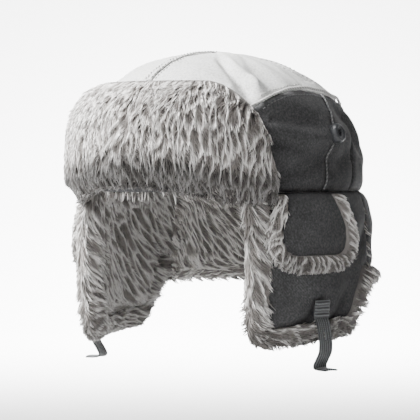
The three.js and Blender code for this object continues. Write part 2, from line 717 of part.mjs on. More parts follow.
// Webbing straps that hang from the ear flaps, with a slot for the snap button, and ribbed tabs.
function addStraps() {
  const clear = clearance + strapThickness / 2 + 0.4;
  const tabBase = clear + strapThickness / 2 + clearance;
  const tabRows = steps(0, 6, 6);
  for (const [name, side] of [["left", 1], ["right", -1]]) {
    const angle = side * strapAngle;
    const turn = radians(angle);
    const across = new THREE.Vector3(
      crownHalfWidth * Math.cos(turn),
      crownHalfDepth * Math.sin(turn),
      0,
    ).normalize();
    const knots = strapCourse.map(({ fall, bow }) =>
      besideFlap(angle, -strapStart - strapFall * fall, clear + strapBow * bow),
    );
    const course = new THREE.CatmullRomCurve3(knots);
    const stations = steps(0, 1, 18).map((t) => {
      const centre = course.getPointAt(t);
      const face = course.getTangentAt(t).cross(across).normalize();
      return { centre, face };
    });
    const place = (lift) => ({ centre, face }, half) =>
      centre
        .clone()
        .addScaledVector(face, lift)
        .addScaledVector(across, (half * strapWidth) / 2);
    const ribbon = layered(stations, [-1, 1], place(strapThickness / 2), place(-strapThickness / 2));
    addPiece(`strap_${name}`, cut(ribbon, slotAt(stations[7], across)), webbing);

    const rib = (out) => (half, row) => {
      const z = -strapStart + tabHeight * (0.3 - row / 6);
      const bow = readTable(strapCourse, (-strapStart - z) / strapFall, "fall", "bow");
      const reach = tabBase + Math.max(bow, 0) * strapBow + out(row);
      return besideFlap(angle, z, reach).addScaledVector(across, (half * (strapWidth + 1)) / 2);
    };
    const ribbed = rib((row) => tabThickness + (row % 2 ? tabRib : 0));
    const flat = rib(() => 0);
    addPiece(`strap_tab_${name}`, layered([-1, 1], tabRows, ribbed, flat), webbing);
  }
}

// The cutter for a strap's slot: a long hole with round ends, along the strap.
function slotAt({ centre, face }, across) {
  const shape = new THREE.Shape();
  const [reach, round] = [(slotLength - slotWidth) / 2, slotWidth / 2];
  shape.absarc(0, reach, round, 0, Math.PI, false);
  shape.absarc(0, -reach, round, Math.PI, 2 * Math.PI, false);
  const depth = 4 * strapThickness;
  const slot = new THREE.ExtrudeGeometry(shape, { depth, bevelEnabled: false, curveSegments: 5 });
  slot.translate(0, 0, -depth / 2);
  const along = new THREE.Vector3().crossVectors(face, across);
  slot.applyMatrix4(new THREE.Matrix4().makeBasis(across, along, face));
  slot.translate(centre.x, centre.y, centre.z);
  return slot;
}

addCrown();
addSeamTape();
addPiping();
addSidePiping();
addLining();
addFlaps();
addCovers();
addFrontFlap();
addButtons();
addStraps();

export default hat;
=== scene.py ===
# %% [markdown]
# # A trapper-style ushanka
# The hat is a padded crown of dark cloth under a light top, with deep plush fur turned up in front
# and lining the flaps that hang over the ears and the neck. The solid parts come ready made as a
# frame, in metres, with the wearer's left at +X and the front towards -Y. This lesson dresses them:
# it makes the cloth, the cords and the fur as surfaces worked out with numpy, and finishes each
# with a material of its own.
#
# The frame is loaded first, before anything is added. The dressed hat has to keep the size of its
# solid parts.

# %% Load the frame
import math

import bmesh
import bpy
import numpy as np
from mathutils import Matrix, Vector


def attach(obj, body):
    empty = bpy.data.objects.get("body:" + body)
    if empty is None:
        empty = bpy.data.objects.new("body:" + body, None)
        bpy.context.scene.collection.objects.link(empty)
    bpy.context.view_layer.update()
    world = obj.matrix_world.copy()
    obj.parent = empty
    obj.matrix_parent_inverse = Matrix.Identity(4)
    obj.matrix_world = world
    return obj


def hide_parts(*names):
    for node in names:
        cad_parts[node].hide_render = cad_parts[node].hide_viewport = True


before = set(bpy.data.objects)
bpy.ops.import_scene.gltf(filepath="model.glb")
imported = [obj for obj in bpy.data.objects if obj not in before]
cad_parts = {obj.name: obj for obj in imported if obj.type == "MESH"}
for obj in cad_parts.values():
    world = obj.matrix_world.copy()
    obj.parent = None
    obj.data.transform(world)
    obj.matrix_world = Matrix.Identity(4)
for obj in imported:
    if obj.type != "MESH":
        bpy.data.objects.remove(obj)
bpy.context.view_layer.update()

# %% [markdown]
# A camera for a product of this size stands well back with a long lens, so the near ear flap and the
# far one come out at almost the same size. It looks at the hat from 35 degrees to its left, level
# with the seam between crown and flaps, and slightly beside it, which places the hat in the frame.

# %% Place the camera
CAMERA_TURN = math.radians(35)
CAMERA_RISE = math.radians(1)
CAMERA_DISTANCE = 1.8
FRAME_WIDTH = 0.326

towards = Vector((
    math.sin(CAMERA_TURN) * math.cos(CAMERA_RISE),
    -math.cos(CAMERA_TURN) * math.cos(CAMERA_RISE),
    math.sin(CAMERA_RISE),
))
sideways = Vector((math.cos(CAMERA_TURN), math.sin(CAMERA_TURN), 0))
aim = sideways * -0.0147 + Vector((0, 0, -0.0147))
camera_data = bpy.data.cameras.new("camera")
camera_data.lens = camera_data.sensor_width * CAMERA_DISTANCE / FRAME_WIDTH
camera_data.clip_end = 50
camera = bpy.data.objects.new("camera", camera_data)
bpy.context.scene.collection.objects.link(camera)
camera.location = aim + towards * CAMERA_DISTANCE
camera.rotation_euler = towards.to_track_quat("Z", "Y").to_euler()
bpy.context.scene.camera = camera
print("lens:", round(camera_data.lens), "mm")

# %% [markdown]
# The hat is lit like a catalogue picture. A strong soft light high up at the picture's left
# brightens the light top and the fur, and leaves the right side dark. A weak one overhead and one
# beside the camera open the shadows, and a faint one behind keeps the back from going black. A beam
# makes the wall white without reaching the hat: a beam as wide as the whole wall would throw so much
# light back that the dark cloth would look grey from behind. A pale floor bends up into the wall, so
# no edge shows.

# %% Light the studio and lay the floor
def add_area_light(name, place, size, power, target=(0, 0, 0)):
    """A square soft light at a place in metres, turned to face a target, which is the hat or a wall."""
    data = bpy.data.lights.new(name, "AREA")
    data.size = size
    data.energy = power
    light = bpy.data.objects.new(name, data)
    light.location = place
    light.rotation_euler = (Vector(place) - Vector(target)).to_track_quat("Z", "Y").to_euler()
    bpy.context.scene.collection.objects.link(light)
    return light


add_area_light("key_softbox", (-1.0, -1.05, 1.28), 0.5, 190)
add_area_light("overhead_softbox", (-0.15, -0.35, 1.5), 0.6, 21)
add_area_light("right_softbox", (0.45, -1.7, 0.7), 0.5, 14)
add_area_light("rear_softbox", (0.2, 1.5, 0.9), 0.8, 3)
wall_light = towards * -0.7 + Vector((0, 0, 1.3))
wall_aim = towards * -1.9 + Vector((0, 0, -0.1))
backdrop_light = add_area_light("backdrop_light", wall_light, 0.8, 330, wall_aim)
backdrop_light.data.spread = math.radians(105)

world = bpy.data.worlds.new("studio")
world.use_nodes = True
world.node_tree.nodes["Background"].inputs["Color"].default_value = (1, 1, 1, 1)
world.node_tree.nodes["Background"].inputs["Strength"].default_value = 0.06
bpy.context.scene.world = world

# %% [markdown]
# Every finish below is a node material. Two helpers keep them short: one turns a colour written as
# on a paint card, in sRGB hex, into the linear values that the shader works with, and one adds a
# node with its settings and its links.

# %% Helpers for materials
def linear(hex_colour):
    """sRGB hex to linear RGBA, by the sRGB curve: a straight foot, then a power of 2.4."""
    parts = [int(hex_colour[i : i + 2], 16) / 255 for i in (1, 3, 5)]
    return [p / 12.92 if p <= 0.04045 else ((p + 0.055) / 1.055) ** 2.4 for p in parts] + [1]


def add_node(material, kind, inputs=None, **settings):
    """Adds a node. Inputs are outputs of other nodes or numbers, settings its properties and values."""
    node = material.node_tree.nodes.new(kind)
    for key, value in settings.items():
        if key in node.bl_rna.properties:
            setattr(node, key, value)
    for socket in node.inputs:
        key = socket.name.replace(" ", "_")
        if socket.enabled and key in settings and key not in node.bl_rna.properties:
            socket.default_value = settings[key]
    for key, source in (inputs or {}).items():
        if isinstance(source, float):
            node.inputs[key].default_value = source
        else:
            material.node_tree.links.new(source, node.inputs[key])
    return node


def new_material(name, **values):
    """A material with a Principled shader, whose constant values are set on the shader itself."""
    material = bpy.data.materials.new(name)
    material.use_nodes = True
    for key, value in values.items():
        material.node_tree.nodes["Principled BSDF"].inputs[key.replace("_", " ")].default_value = value
    return material


def feed(material, socket, source):
    """Links a node's output to a socket of the shader."""
    material.node_tree.links.new(source, material.node_tree.nodes["Principled BSDF"].inputs[socket])


def calculate(material, operation, *values):
    """The output of a Math node, whose values are numbers or other nodes' outputs."""
    return add_node(material, "ShaderNodeMath", dict(enumerate(values)), operation=operation).outputs["Value"]


def noise(material, scale, detail=2):
    """Noise over the piece's Object coordinates. It averages 0.5."""
    place = add_node(material, "ShaderNodeTexCoord").outputs["Object"]
    specks = add_node(material, "ShaderNodeTexNoise", {"Vector": place}, Scale=scale, Detail=detail)
    return specks.outputs["Fac"]


def bands(material, direction, spacing, distortion=0, detail=2):
    """Bands along the piece's UV map. The Wave texture repeats every 2 pi / 20 at a scale of 1."""
    place = add_node(material, "ShaderNodeTexCoord").outputs["UV"]
    wave = add_node(
        material, "ShaderNodeTexWave", {"Vector": place}, bands_direction=direction,
        Scale=2 * math.pi / 20 / spacing, Distortion=distortion, Detail=detail,
    )
    return wave.outputs["Fac"]


def ramp(material, source, *stops):
    """The colour of a ramp fed by a value, with stops given as (position, hex colour)."""
    node = add_node(material, "ShaderNodeValToRGB", {"Fac": source})
    elements = node.color_ramp.elements
    while len(elements) < len(stops):
        elements.new(0.5)
    for element, (position, colour) in zip(elements, stops):
        element.position = position
        element.color = linear(colour)
    return node.outputs["Color"]


def add_relief(material, height, strength, distance=0.0003):
    """Bumps the surface by a pattern, up to a distance in metres."""
    bump = add_node(material, "ShaderNodeBump", {"Height": height}, Strength=strength, Distance=distance)
    feed(material, "Normal", bump.outputs["Normal"])


floor_finish = new_material("painted_studio_floor", Roughness=0.9, Base_Color=linear("#b4b4b4"))

# %% [markdown]
# The floor is one sheet: a profile that runs flat under the hat and bends up behind it, carried
# along a straight line.

# %% Make the floor
def make_mesh(name, points, faces, material):
    """A smooth mesh object from an array of points, and faces as an array or a list."""
    mesh = bpy.data.meshes.new(name)
    mesh.from_pydata(points.reshape(-1, 3), [], faces)
    mesh.shade_smooth()
    mesh.materials.append(material)
    thing = bpy.data.objects.new(name, mesh)
    bpy.context.scene.collection.objects.link(thing)
    return thing


def grid_faces(rows, columns, start=0, loop=False):
    """Squares between neighbours of a grid of points that is stored row by row."""
    index = start + np.arange(rows * columns).reshape(rows, columns)
    if loop:
        index = np.vstack([index, index[:1]])
    corners = index[:-1, :-1], index[1:, :-1], index[1:, 1:], index[:-1, 1:]
    return np.stack([c.ravel() for c in corners], axis=1)


FLOOR_HEIGHT = -0.21
bend = np.linspace(0, math.pi / 2, 24)
depth = np.concatenate([[-6], 1.5 + 1.5 * np.sin(bend), [3]])
height = np.concatenate([[0], 1.5 - 1.5 * np.cos(bend), [6]]) + FLOOR_HEIGHT
turned = np.stack([depth * -math.sin(CAMERA_TURN), depth * math.cos(CAMERA_TURN), height], axis=1)
across = np.array([math.cos(CAMERA_TURN), math.sin(CAMERA_TURN), 0])
backdrop_points = turned[:, None, :] + np.array([-6, 6])[None, :, None] * across
backdrop = make_mesh("studio_floor", backdrop_points, grid_faces(len(depth), 2)[:, ::-1], floor_finish)
print("floor at", FLOOR_HEIGHT, "m")

# %% [markdown]
# The dark walls are brushed cotton twill: matt, very slightly shiny where the nap catches the light,
# with a fine diagonal grain. Real ribs of about half a millimetre are too fine to show from here, so
# they are drawn about twice as coarse. The light top is the same cloth in off-white. A pattern that
# follows cloth has to run along the threads, so it reads each piece's own UV map, in metres.

# %% Twill for the walls and the top
RIB_SPACING = 0.0008
NAP_GRAIN = 0.0015
MOTTLING = 0.25


def twill(name, dark, mid, light, grain, sheen):
    """Brushed twill: a speckled nap and faint mottling in three tones over a diagonal rib."""
    material = new_material(name, Roughness=0.88, Sheen_Weight=sheen, Sheen_Roughness=0.45)
    mottle = noise(material, 45, 3)
    nap = noise(material, 1 / NAP_GRAIN)
    # both noises average 0.5, so the sum is brought back to 0.5
    tone = calculate(material, "MULTIPLY_ADD", nap, grain, 0.5 - grain / 2 - MOTTLING / 2)
    tone = calculate(material, "MULTIPLY_ADD", mottle, MOTTLING, tone)
    feed(material, "Base Color", ramp(material, tone, (0.25, dark), (0.5, mid), (0.78, light)))
    # a diagonal crosses both axes at once, so its bands are spaced out again
    ribs = bands(material, "DIAGONAL", RIB_SPACING / 0.7, 0.8, 1)
    add_relief(material, calculate(material, "ADD", ribs, nap), 0.3)
    return material


dark_twill = twill("brushed_cotton_twill_charcoal", "#19191a", "#3a3a3b", "#5c5c5c", 0.65, 0.04)
light_twill = twill("brushed_cotton_twill_off_white", "#a4a4a2", "#cececc", "#e6e6e4", 0.8, 0.03)

# %% [markdown]
# Deep plush is thousands of fine acrylic hairs on a knitted back. From here the eye sees them as a
# net of bright ridges, where hairs crowd together and catch the light, over darker hollows. Each hair
# carries three numbers in a colour attribute: how far along it a point lies, how near that point is to
# a ridge, and a tone of its own. The material turns the second into a painted highlight, lighter
# colour along the ridges over darker hollows, and the others into painted shade: darker roots, and
# a random tone darkened further where the fur lies in shade.

# %% Plush pile and its knitted back
plush = new_material("acrylic_plush_pile", Roughness=0.55, Specular_IOR_Level=0.3)
pile = add_node(plush, "ShaderNodeVertexColor", layer_name="pile").outputs["Color"]
numbers = add_node(plush, "ShaderNodeSeparateColor", {"Color": pile}).outputs
# Painted highlight: hairs near a ridge are coloured light and hairs in the hollows dark, as light and shade
# would make them.
painted_ridge_colour = ramp(
    plush, numbers["Green"], (0.0, "#8f8a86"), (0.3, "#aeaaa6"), (0.7, "#d8d4d1"), (1.0, "#f6f4f1"),
)
# Painted shade: each hair is coloured darker towards its root, as if shaded by the hairs around it.
painted_root_shade = add_node(
    plush, "ShaderNodeMapRange", {"Value": numbers["Red"]}, From_Max=0.5, To_Min=0.55, To_Max=1.0,
)
# The hair's own tone: random, times the painted shade given to it where the fur lies in shade.
own_tone_and_painted_shade = add_node(plush, "ShaderNodeMapRange", {"Value": numbers["Blue"]}, To_Min=0.2, To_Max=1.08)
both_tones = calculate(plush, "MULTIPLY", painted_root_shade.outputs["Result"], own_tone_and_painted_shade.outputs["Result"])
toned = add_node(plush, "ShaderNodeVectorMath", {0: painted_ridge_colour, "Scale": both_tones}, operation="SCALE")
feed(plush, "Base Color", toned.outputs["Vector"])

# %% [markdown]
# Three small finishes are left. The straps are nylon webbing, whose ribs of yarn run across it. The
# snap button is moulded nylon, smooth with a faint orange peel. The piping and the stitches are spun
# polyester: a soft gloss with a twist too fine to model.

# %% Webbing, moulded nylon and thread
webbing = new_material("nylon_webbing", Roughness=0.62, Sheen_Weight=0.2)
yarns = bands(webbing, "X", 0.0022, 1.2)
weft = bands(webbing, "Y", 0.0014)
feed(webbing, "Base Color", ramp(webbing, yarns, (0.0, "#2c2d2e"), (0.6, "#4a4c4d"), (1.0, "#66696a")))
add_relief(webbing, calculate(webbing, "MULTIPLY", yarns, weft), 0.6, 0.0005)

nylon = new_material("moulded_nylon_graphite", Roughness=0.42, IOR=1.53)
peel = noise(nylon, 900)
feed(nylon, "Base Color", ramp(nylon, peel, (0.3, "#2a2b2d"), (0.7, "#3b3d40")))
add_relief(nylon, peel, 0.15)


def spun_thread(name, dark, light):
    """Twisted polyester: the twist shows as fine diagonal bands of tone along the cord's UV map."""
    material = new_material(name, Roughness=0.55, Sheen_Weight=0.15)
    twist = bands(material, "DIAGONAL", 0.0016, 0.4)
    feed(material, "Base Color", ramp(material, twist, (0.1, dark), (0.9, light)))
    add_relief(material, twist, 0.4)
    return material


light_thread = spun_thread("spun_polyester_silver", "#a9a8a6", "#dad9d6")
dark_thread = spun_thread("spun_polyester_charcoal", "#4e4e4f", "#767676")
print("finishes:", len(bpy.data.materials))

# %% [markdown]
# The crown is sewn from flat panels, but padding rounds it into one dome. Modelled panel by panel
# with a sculpting brush it would be hard to keep the seams tight, so the whole dome is one formula:
# at each height the waist's oval shrinks by the square root of one minus the height cubed, and leans
# forward. Every panel is a patch of that dome between two seams, so neighbours always meet.

# %% Shape of the crown
SIDES = ((1, "left"), (-1, "right"))
HALF_WIDTH = 0.100
HALF_DEPTH = 0.122
CROWN_HEIGHT = 0.106
CROWN_LEAN = 0.020
CROWN_WALL = 0.003
MEAN_RADIUS = (HALF_WIDTH + HALF_DEPTH) / 2
TURN_LENGTH = CROWN_HEIGHT * 1.4
SEAM_GAP = 0.0003
GAP_ANGLE = math.degrees(SEAM_GAP / HALF_WIDTH)
GAP_TURN = SEAM_GAP / CROWN_HEIGHT / 2
TOP_SEAM = np.array([
    # angle from the front, share of the crown's height
    (0, 0.5), (30, 0.53), (55, 0.6), (66, 0.67), (80, 0.72),
    (95, 0.725), (110, 0.7), (130, 0.645), (155, 0.59), (180, 0.57),
])


def smoothstep(x, low, high):
    """0 below low, 1 above high, and a cubic between them."""
    t = np.clip((x - low) / (high - low), 0, 1)
    return t * t * (3 - 2 * t)


def turned_angle(angle):
    """Degrees from the front, 0 to 180, on either side."""
    return np.abs((np.asarray(angle, float) + 180) % 360 - 180)


def read_curve(table, x):
    """A cubic through the rows of a table, with the slope at each row taken from its neighbours."""
    xs, ys = table[:, 0], table[:, 1]
    slopes = np.concatenate([
        [(ys[1] - ys[0]) / (xs[1] - xs[0])],
        (ys[2:] - ys[:-2]) / (xs[2:] - xs[:-2]),
        [(ys[-1] - ys[-2]) / (xs[-1] - xs[-2])],
    ])
    k = np.clip(np.searchsorted(xs, x, side="right") - 1, 0, len(xs) - 2)
    span = xs[k + 1] - xs[k]
    t = np.clip((x - xs[k]) / span, 0, 1)
    return (
        (2 * t**3 - 3 * t**2 + 1) * ys[k] + (t**3 - 2 * t**2 + t) * span * slopes[k]
        + (3 * t**2 - 2 * t**3) * ys[k + 1] + (t**3 - t**2) * span * slopes[k + 1]
    )


def spread(*parts):
    """Points, or pairs of measures, from their coordinates, which are numbers or matching grids."""
    return np.stack(np.broadcast_arrays(*parts), axis=-1)


def oval(angle, wide, deep, z, lean=0.0):
    """The point at an angle on an oval of two half axes, at a height, moved along Y by the lean."""
    a = np.radians(angle)
    return spread(wide * np.sin(a), lean - deep * np.cos(a), z)


def crown_share(z):
    """What is left of the waist's oval at a height: the root of one minus the height's share cubed."""
    return np.sqrt(np.clip(1 - np.clip(z / CROWN_HEIGHT, 0, 1) ** 3, 0, 1))


def crown_lean(z):
    return -CROWN_LEAN * np.clip(z / CROWN_HEIGHT, 0, 1)


def waist_tuck(z):
    """The crease where crown and flaps are sewn together, dying out within a few millimetres."""
    return 0.004 * np.exp(-np.abs(z) / 0.0045)


def turn_at(rise):
    """The turn of the dome, 0 at the waist and 1 at the top, that reaches a share of its height."""
    return np.arcsin(np.asarray(rise) ** 1.5) * 2 / math.pi


def height_at(turn):
    return CROWN_HEIGHT * np.sin(turn * math.pi / 2) ** (2 / 3)


def seam_turn(angle):
    return turn_at(read_curve(TOP_SEAM, turned_angle(angle)))


def crown_point(angle, turn, inset):
    """A point on the dome at an angle and a turn, moved inwards by an inset."""
    z = height_at(turn)
    depth = inset + waist_tuck(z)
    share = np.cos(turn * math.pi / 2)
    wide, deep = (HALF_WIDTH - depth) * share, (HALF_DEPTH - depth) * share
    return oval(angle, wide, deep, z - depth * z / CROWN_HEIGHT, crown_lean(z))


# %% [markdown]
# Worn cloth is never smooth. Drag lines run across the walls from the snap buttons to the front
# flap, and the light top has fallen in beside its centre seam. Each fold is a line over the dome: the
# cloth sinks along it, stands up in a soft ridge on one side, and both fade towards its ends. Finer
# unevenness is a sum of a few slow waves.

# %% Folds and softness of the cloth
FOLD_STRENGTH = 1.5
DENT_DEPTH = 0.0004
CROWN_FOLDS = [
    # side, start angle, start height, end angle, end height, width, depth, all lengths in metres
    (1, 56, 0.037, 87, 0.029, 0.0060, 0.0026),
    (1, 57, 0.011, 99, 0.032, 0.0070, 0.0034),
    (1, 87, 0.015, 106, 0.030, 0.0055, 0.0026),
    (1, 58, 0.058, 84, 0.050, 0.0070, 0.0022),
    (1, 108, 0.060, 121, 0.028, 0.0060, 0.0026),
    (1, 128, 0.012, 172, 0.026, 0.0070, 0.0022),
    (1, 140, 0.050, 168, 0.040, 0.0080, 0.0018),
    (-1, 54, 0.032, 86, 0.040, 0.0065, 0.0020),
    (-1, 60, 0.014, 96, 0.026, 0.0070, 0.0024),
    (-1, 92, 0.030, 112, 0.012, 0.0060, 0.0020),
    (-1, 118, 0.054, 132, 0.026, 0.0065, 0.0018),
    (-1, 136, 0.014, 176, 0.030, 0.0070, 0.0020),
    (1, 45, 0.098, 53, 0.083, 0.0032, 0.0036),
    (1, 52, 0.085, 54.5, 0.070, 0.0050, 0.0050),
    (1, 60, 0.094, 74, 0.080, 0.0060, 0.0016),
    (1, 100, 0.1005, 111, 0.078, 0.0012, 0.0009),
    (-1, 100, 0.1005, 111, 0.078, 0.0012, 0.0009),
    (1, 92, 0.092, 108, 0.078, 0.0080, 0.0012),
    (-1, 48, 0.097, 58, 0.078, 0.0050, 0.0036),
    (-1, 120, 0.088, 140, 0.070, 0.0080, 0.0016),
]


def fold_depth(folds, angle, z, share):
    """How deep the folds sink at a place, from its distance to each fold's line over the surface."""
    side = np.where(np.sin(np.radians(angle)) < 0, -1, 1)
    run = np.radians(turned_angle(angle)) * MEAN_RADIUS
    total = np.zeros(np.broadcast(angle, z).shape)
    for fold_side, a0, z0, a1, z1, width, depth in folds:
        squeeze = np.maximum(share, 0.35)
        dx = (run - math.radians(a0) * MEAN_RADIUS) * squeeze
        dz = z - z0
        lx = math.radians(a1 - a0) * MEAN_RADIUS * squeeze
        lz = z1 - z0
        length = np.hypot(lx, lz)
        t = np.clip((dx * lx + dz * lz) / length**2, 0, 1)
        off = (dz * lx - dx * lz) / length
        away = np.hypot(dx - t * lx, dz - t * lz)
        valley = np.exp(-((away / width) ** 2))
        ridge = 0.45 * np.exp(-(((off - 1.9 * width) / width) ** 2)) * (away < 4 * width)
        fade = np.sin(math.pi * (0.12 + 0.76 * t)) ** 0.8
        total += np.where(side == fold_side, FOLD_STRENGTH * depth * fade * (valley - ridge), 0)
    return total


def unevenness(points, size, seed):
    """Slow waves in all directions, from -size to size, that never line up."""
    rng = np.random.default_rng(seed)
    total = np.zeros(points.shape[:-1])
    for _ in range(6):
        direction = rng.normal(size=3)
        wave = direction / np.linalg.norm(direction) * rng.uniform(130, 420)
        total += np.sin(points @ wave + rng.uniform(0, 6.28))
    return size * total / 3.5


def cloth_sink(angle, turn):
    """How far folds and dents sink the crown's cloth below the plain dome, fading at the top."""
    z = height_at(turn)
    dents = unevenness(crown_point(angle, turn, 0.0), DENT_DEPTH, 4)
    return (fold_depth(CROWN_FOLDS, angle, z, crown_share(z)) + dents) * smoothstep(1 - turn, 0, 0.12)


# %% [markdown]
# A sewn panel is thin cloth over padding: the outer surface, the inner one, and a narrow border
# that joins them. The helper below makes such a closed shell from two grids of points. It checks the
# sign of the volume, so that faces point outwards whichever way the grid runs, and stores the
# cloth's own measures as the UV map that the twill reads. Near a border the surface rounds down into
# the seam, puckered slightly by the thread.

# %% Closed shells of cloth
def shell_faces(rows, columns):
    """Squares of an outer and an inner grid, and of the border between them."""
    outer = grid_faces(rows, columns)
    inner = grid_faces(rows, columns, start=rows * columns)[:, ::-1]
    index = np.arange(rows * columns).reshape(rows, columns)
    rim = np.concatenate([index[:-1, 0], index[-1, :-1], index[:0:-1, -1], index[0, :0:-1]])
    after = np.roll(rim, -1)
    border = np.stack([after, rim, rim + rows * columns, after + rows * columns], axis=1)
    return np.vstack([outer, inner, border])


def signed_volume(points, faces):
    """The volume inside, by the cone from the origin to each face; negative if it is inside out."""
    a, b, c, d = (points[faces[:, k]] for k in range(4))
    return (np.einsum("ij,ij->i", a, np.cross(b, c)) + np.einsum("ij,ij->i", a, np.cross(c, d))).sum() / 6


def enclose(outer, inner):
    """Points of a closed shell between two grids, and its faces, turned outwards."""
    points = np.vstack([outer.reshape(-1, 3), inner.reshape(-1, 3)])
    faces = shell_faces(*outer.shape[:2])
    return points, faces[:, ::-1] if signed_volume(points, faces) < 0 else faces


def lay_uv(mesh, uv):
    """Stores one pair of measures a point as the mesh's UV map."""
    corner = np.empty(len(mesh.loops), dtype=np.int32)
    mesh.loops.foreach_get("vertex_index", corner)
    layer = mesh.uv_layers.new(name="cloth")
    layer.data.foreach_set("uv", uv.reshape(-1, 2)[corner].ravel())


def merge_pole(mesh):
    """One point where a whole row of the grid meets, as at the top of the dome."""
    work = bmesh.new()
    work.from_mesh(mesh)
    bmesh.ops.remove_doubles(work, verts=work.verts, dist=1e-6)
    work.to_mesh(mesh)
    work.free()


def make_shell(name, outer, inner, uv, material):
    """A closed piece of cloth between two grids, with its UV map in metres."""
    thing = make_mesh(name, *enclose(outer, inner), material)
    lay_uv(thing.data, np.stack([uv, uv]))
    merge_pole(thing.data)
    return thing


def stands_for(piece, slot, *nodes):
    """Ties a finished piece to the frame: it moves with the hat and stands for its plain solids."""
    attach(piece, "root")
    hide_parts(*nodes)
    print(piece.name, "faces:", len(piece.data.polygons))
    return piece


def seam_rounding(u, v, width, height):
    """How far cloth sinks near its four borders, with a slight pucker at every stitch."""
    across = np.minimum(u, 1 - u) * width
    up = np.minimum(v, 1 - v) * height
    pucker = 1 + 0.2 * np.sin(np.where(across < up, v * height, u * width) * 2 * math.pi / 0.0085)
    edge = np.minimum(across, up)
    return 0.0009 * np.exp(-edge / 0.0016) + 0.0005 * pucker * np.exp(-edge / 0.0055)


# %% [markdown]
# The crown has two dark walls on each side, which meet at the button seam, one at the back, and a
# light top in two halves. Each is a grid of angles and turns between its seams, and the two sides are
# made by the same lines with the sign changed.

# %% Sew the crown's walls and top
waist_turn = float(turn_at(SEAM_GAP / 2 / CROWN_HEIGHT))


def side_seam(v):
    return 82 + 22 * v**0.75


def rear_seam(v):
    return 102 + 15 * v**0.75


def make_crown_panel(name, angle, turn, u, v, material, slot, shift=0.0):
    """A patch of the dome over grids of angle and turn, with its folds, padding and seams."""
    width = np.radians(np.ptp(angle)) * MEAN_RADIUS
    rounding = seam_rounding(u, v, width, np.ptp(turn) * TURN_LENGTH) * smoothstep(1 - turn, 0, 0.12)
    sink = cloth_sink(angle, turn) + rounding + 0.0006 * smoothstep(turn, 0.93, 1)
    outer, inner = (crown_point(angle, turn, sink + inset) + (shift, 0, 0) for inset in (0, CROWN_WALL))
    uv = spread(np.radians(angle) * MEAN_RADIUS, turn * TURN_LENGTH)
    panel = stands_for(make_shell(f"{name}_cloth", outer, inner, uv, material), slot, name)


def make_wall(name, from_angle, to_angle, columns):
    """A dark wall between two seams, each an angle that changes with the share of the way up."""
    u, v = np.meshgrid(np.linspace(0, 1, columns), np.linspace(0, 1, 40) ** 1.15, indexing="ij")
    angle = from_angle(v) + (to_angle(v) - from_angle(v)) * u
    turn = waist_turn + (seam_turn(angle) - GAP_TURN - waist_turn) * v
    make_crown_panel(name, angle, turn, u, v, dark_twill, "dark_cloth")


def make_top(name, side):
    """Half of the light top, from the centre seam to the walls."""
    u, v = np.meshgrid(np.linspace(0, 1, 130), np.linspace(0, 1, 44), indexing="ij")
    angle = side * 180 * u
    foot = seam_turn(angle) + GAP_TURN
    turn = foot + (1 - foot) * v
    make_crown_panel(name, angle, turn, u, v, light_twill, "light_cloth", side * SEAM_GAP / 2)


for side, name in SIDES:
    make_wall(
        f"crown_side_{name}", lambda v: side * GAP_ANGLE / 2 + 0 * v,
        lambda v: side * (side_seam(v) - GAP_ANGLE / 2), 84,
    )
    make_wall(
        f"crown_rear_side_{name}", lambda v: side * (side_seam(v) + GAP_ANGLE / 2),
        lambda v: side * (rear_seam(v) - GAP_ANGLE / 2), 22,
    )
    make_top(f"crown_top_{name}", side)
make_wall(
    "crown_back", lambda v: rear_seam(v) + GAP_ANGLE / 2, lambda v: 360 - rear_seam(v) - GAP_ANGLE / 2,
    100,
)

# %% [markdown]
# Cords and seam tapes run along lines on the dome. A cord is a circle carried along its path: at
# each point the path's direction and the outward direction of the dome give two axes to draw the
# circle on. The tape over the centre seam is a flat strip with rounded edges, and two rows of
# stitches hold it down. Every stitch is the same small bent tube, placed again and again along the
# row, all joined in one mesh.

# %% Cords, tape and stitches on the crown
def unit(vectors):
    return vectors / np.maximum(np.linalg.norm(vectors, axis=-1, keepdims=True), 1e-9)


def path_axes(path, outward):
    """Direction along a path, and the two directions across it, the second one outwards."""
    along = unit(np.gradient(path, axis=0))
    across = unit(np.cross(along, outward))
    return along, across, np.cross(across, along)


def travelled_on(path):
    """How far each point of a path lies from its start, along the path."""
    return np.concatenate([[0], np.cumsum(np.linalg.norm(np.diff(path, axis=0), axis=1))])


def read_path(distances, travelled, path):
    """The places on a path at given distances from its start."""
    return np.stack([np.interp(distances, travelled, path[:, k]) for k in range(3)], axis=1)


def circles(turn, across, up):
    """A unit circle for every pair of axes, with a point at each turn."""
    return np.cos(turn)[None, :, None] * across[:, None] + np.sin(turn)[None, :, None] * up[:, None]


def make_tube(name, path, radius, material, sides=10):
    """A closed round cord: a circle at each point of a path, with the ends drawn in to a point."""
    along, across, up = path_axes(path, dome_outward(path))
    turn = np.linspace(0, 2 * math.pi, sides, endpoint=False)
    radii = np.full(len(path), radius)
    radii[[0, -1]] = radius * 0.55
    rings = path[:, None] + radii[:, None, None] * circles(turn, across, up)
    points = rings.transpose(1, 0, 2).reshape(-1, 3)
    squares = grid_faces(sides, len(path), loop=True)
    if signed_volume(points, squares) < 0:
        squares = squares[:, ::-1]
    first = np.arange(sides) * len(path)
    caps = [first.tolist()[::-1], (first + len(path) - 1).tolist()]
    if np.cross(points[first[1]] - points[first[0]], points[first[2]] - points[first[0]]) @ along[0] < 0:
        caps = [cap[::-1] for cap in caps]
    cord = make_mesh(name, points, squares.tolist() + caps, material)
    travelled = travelled_on(path)
    lay_uv(cord.data, spread(travelled[None, :], (turn * radius)[:, None]))
    print(f"{name}: {travelled[-1] * 1000:.0f} mm long, {radius * 2000:.1f} mm thick")
    return cord


def dome_outward(path):
    """The dome's outward direction, taken from the centre of the head."""
    return unit(path - np.array([0, -0.008, 0.02]))


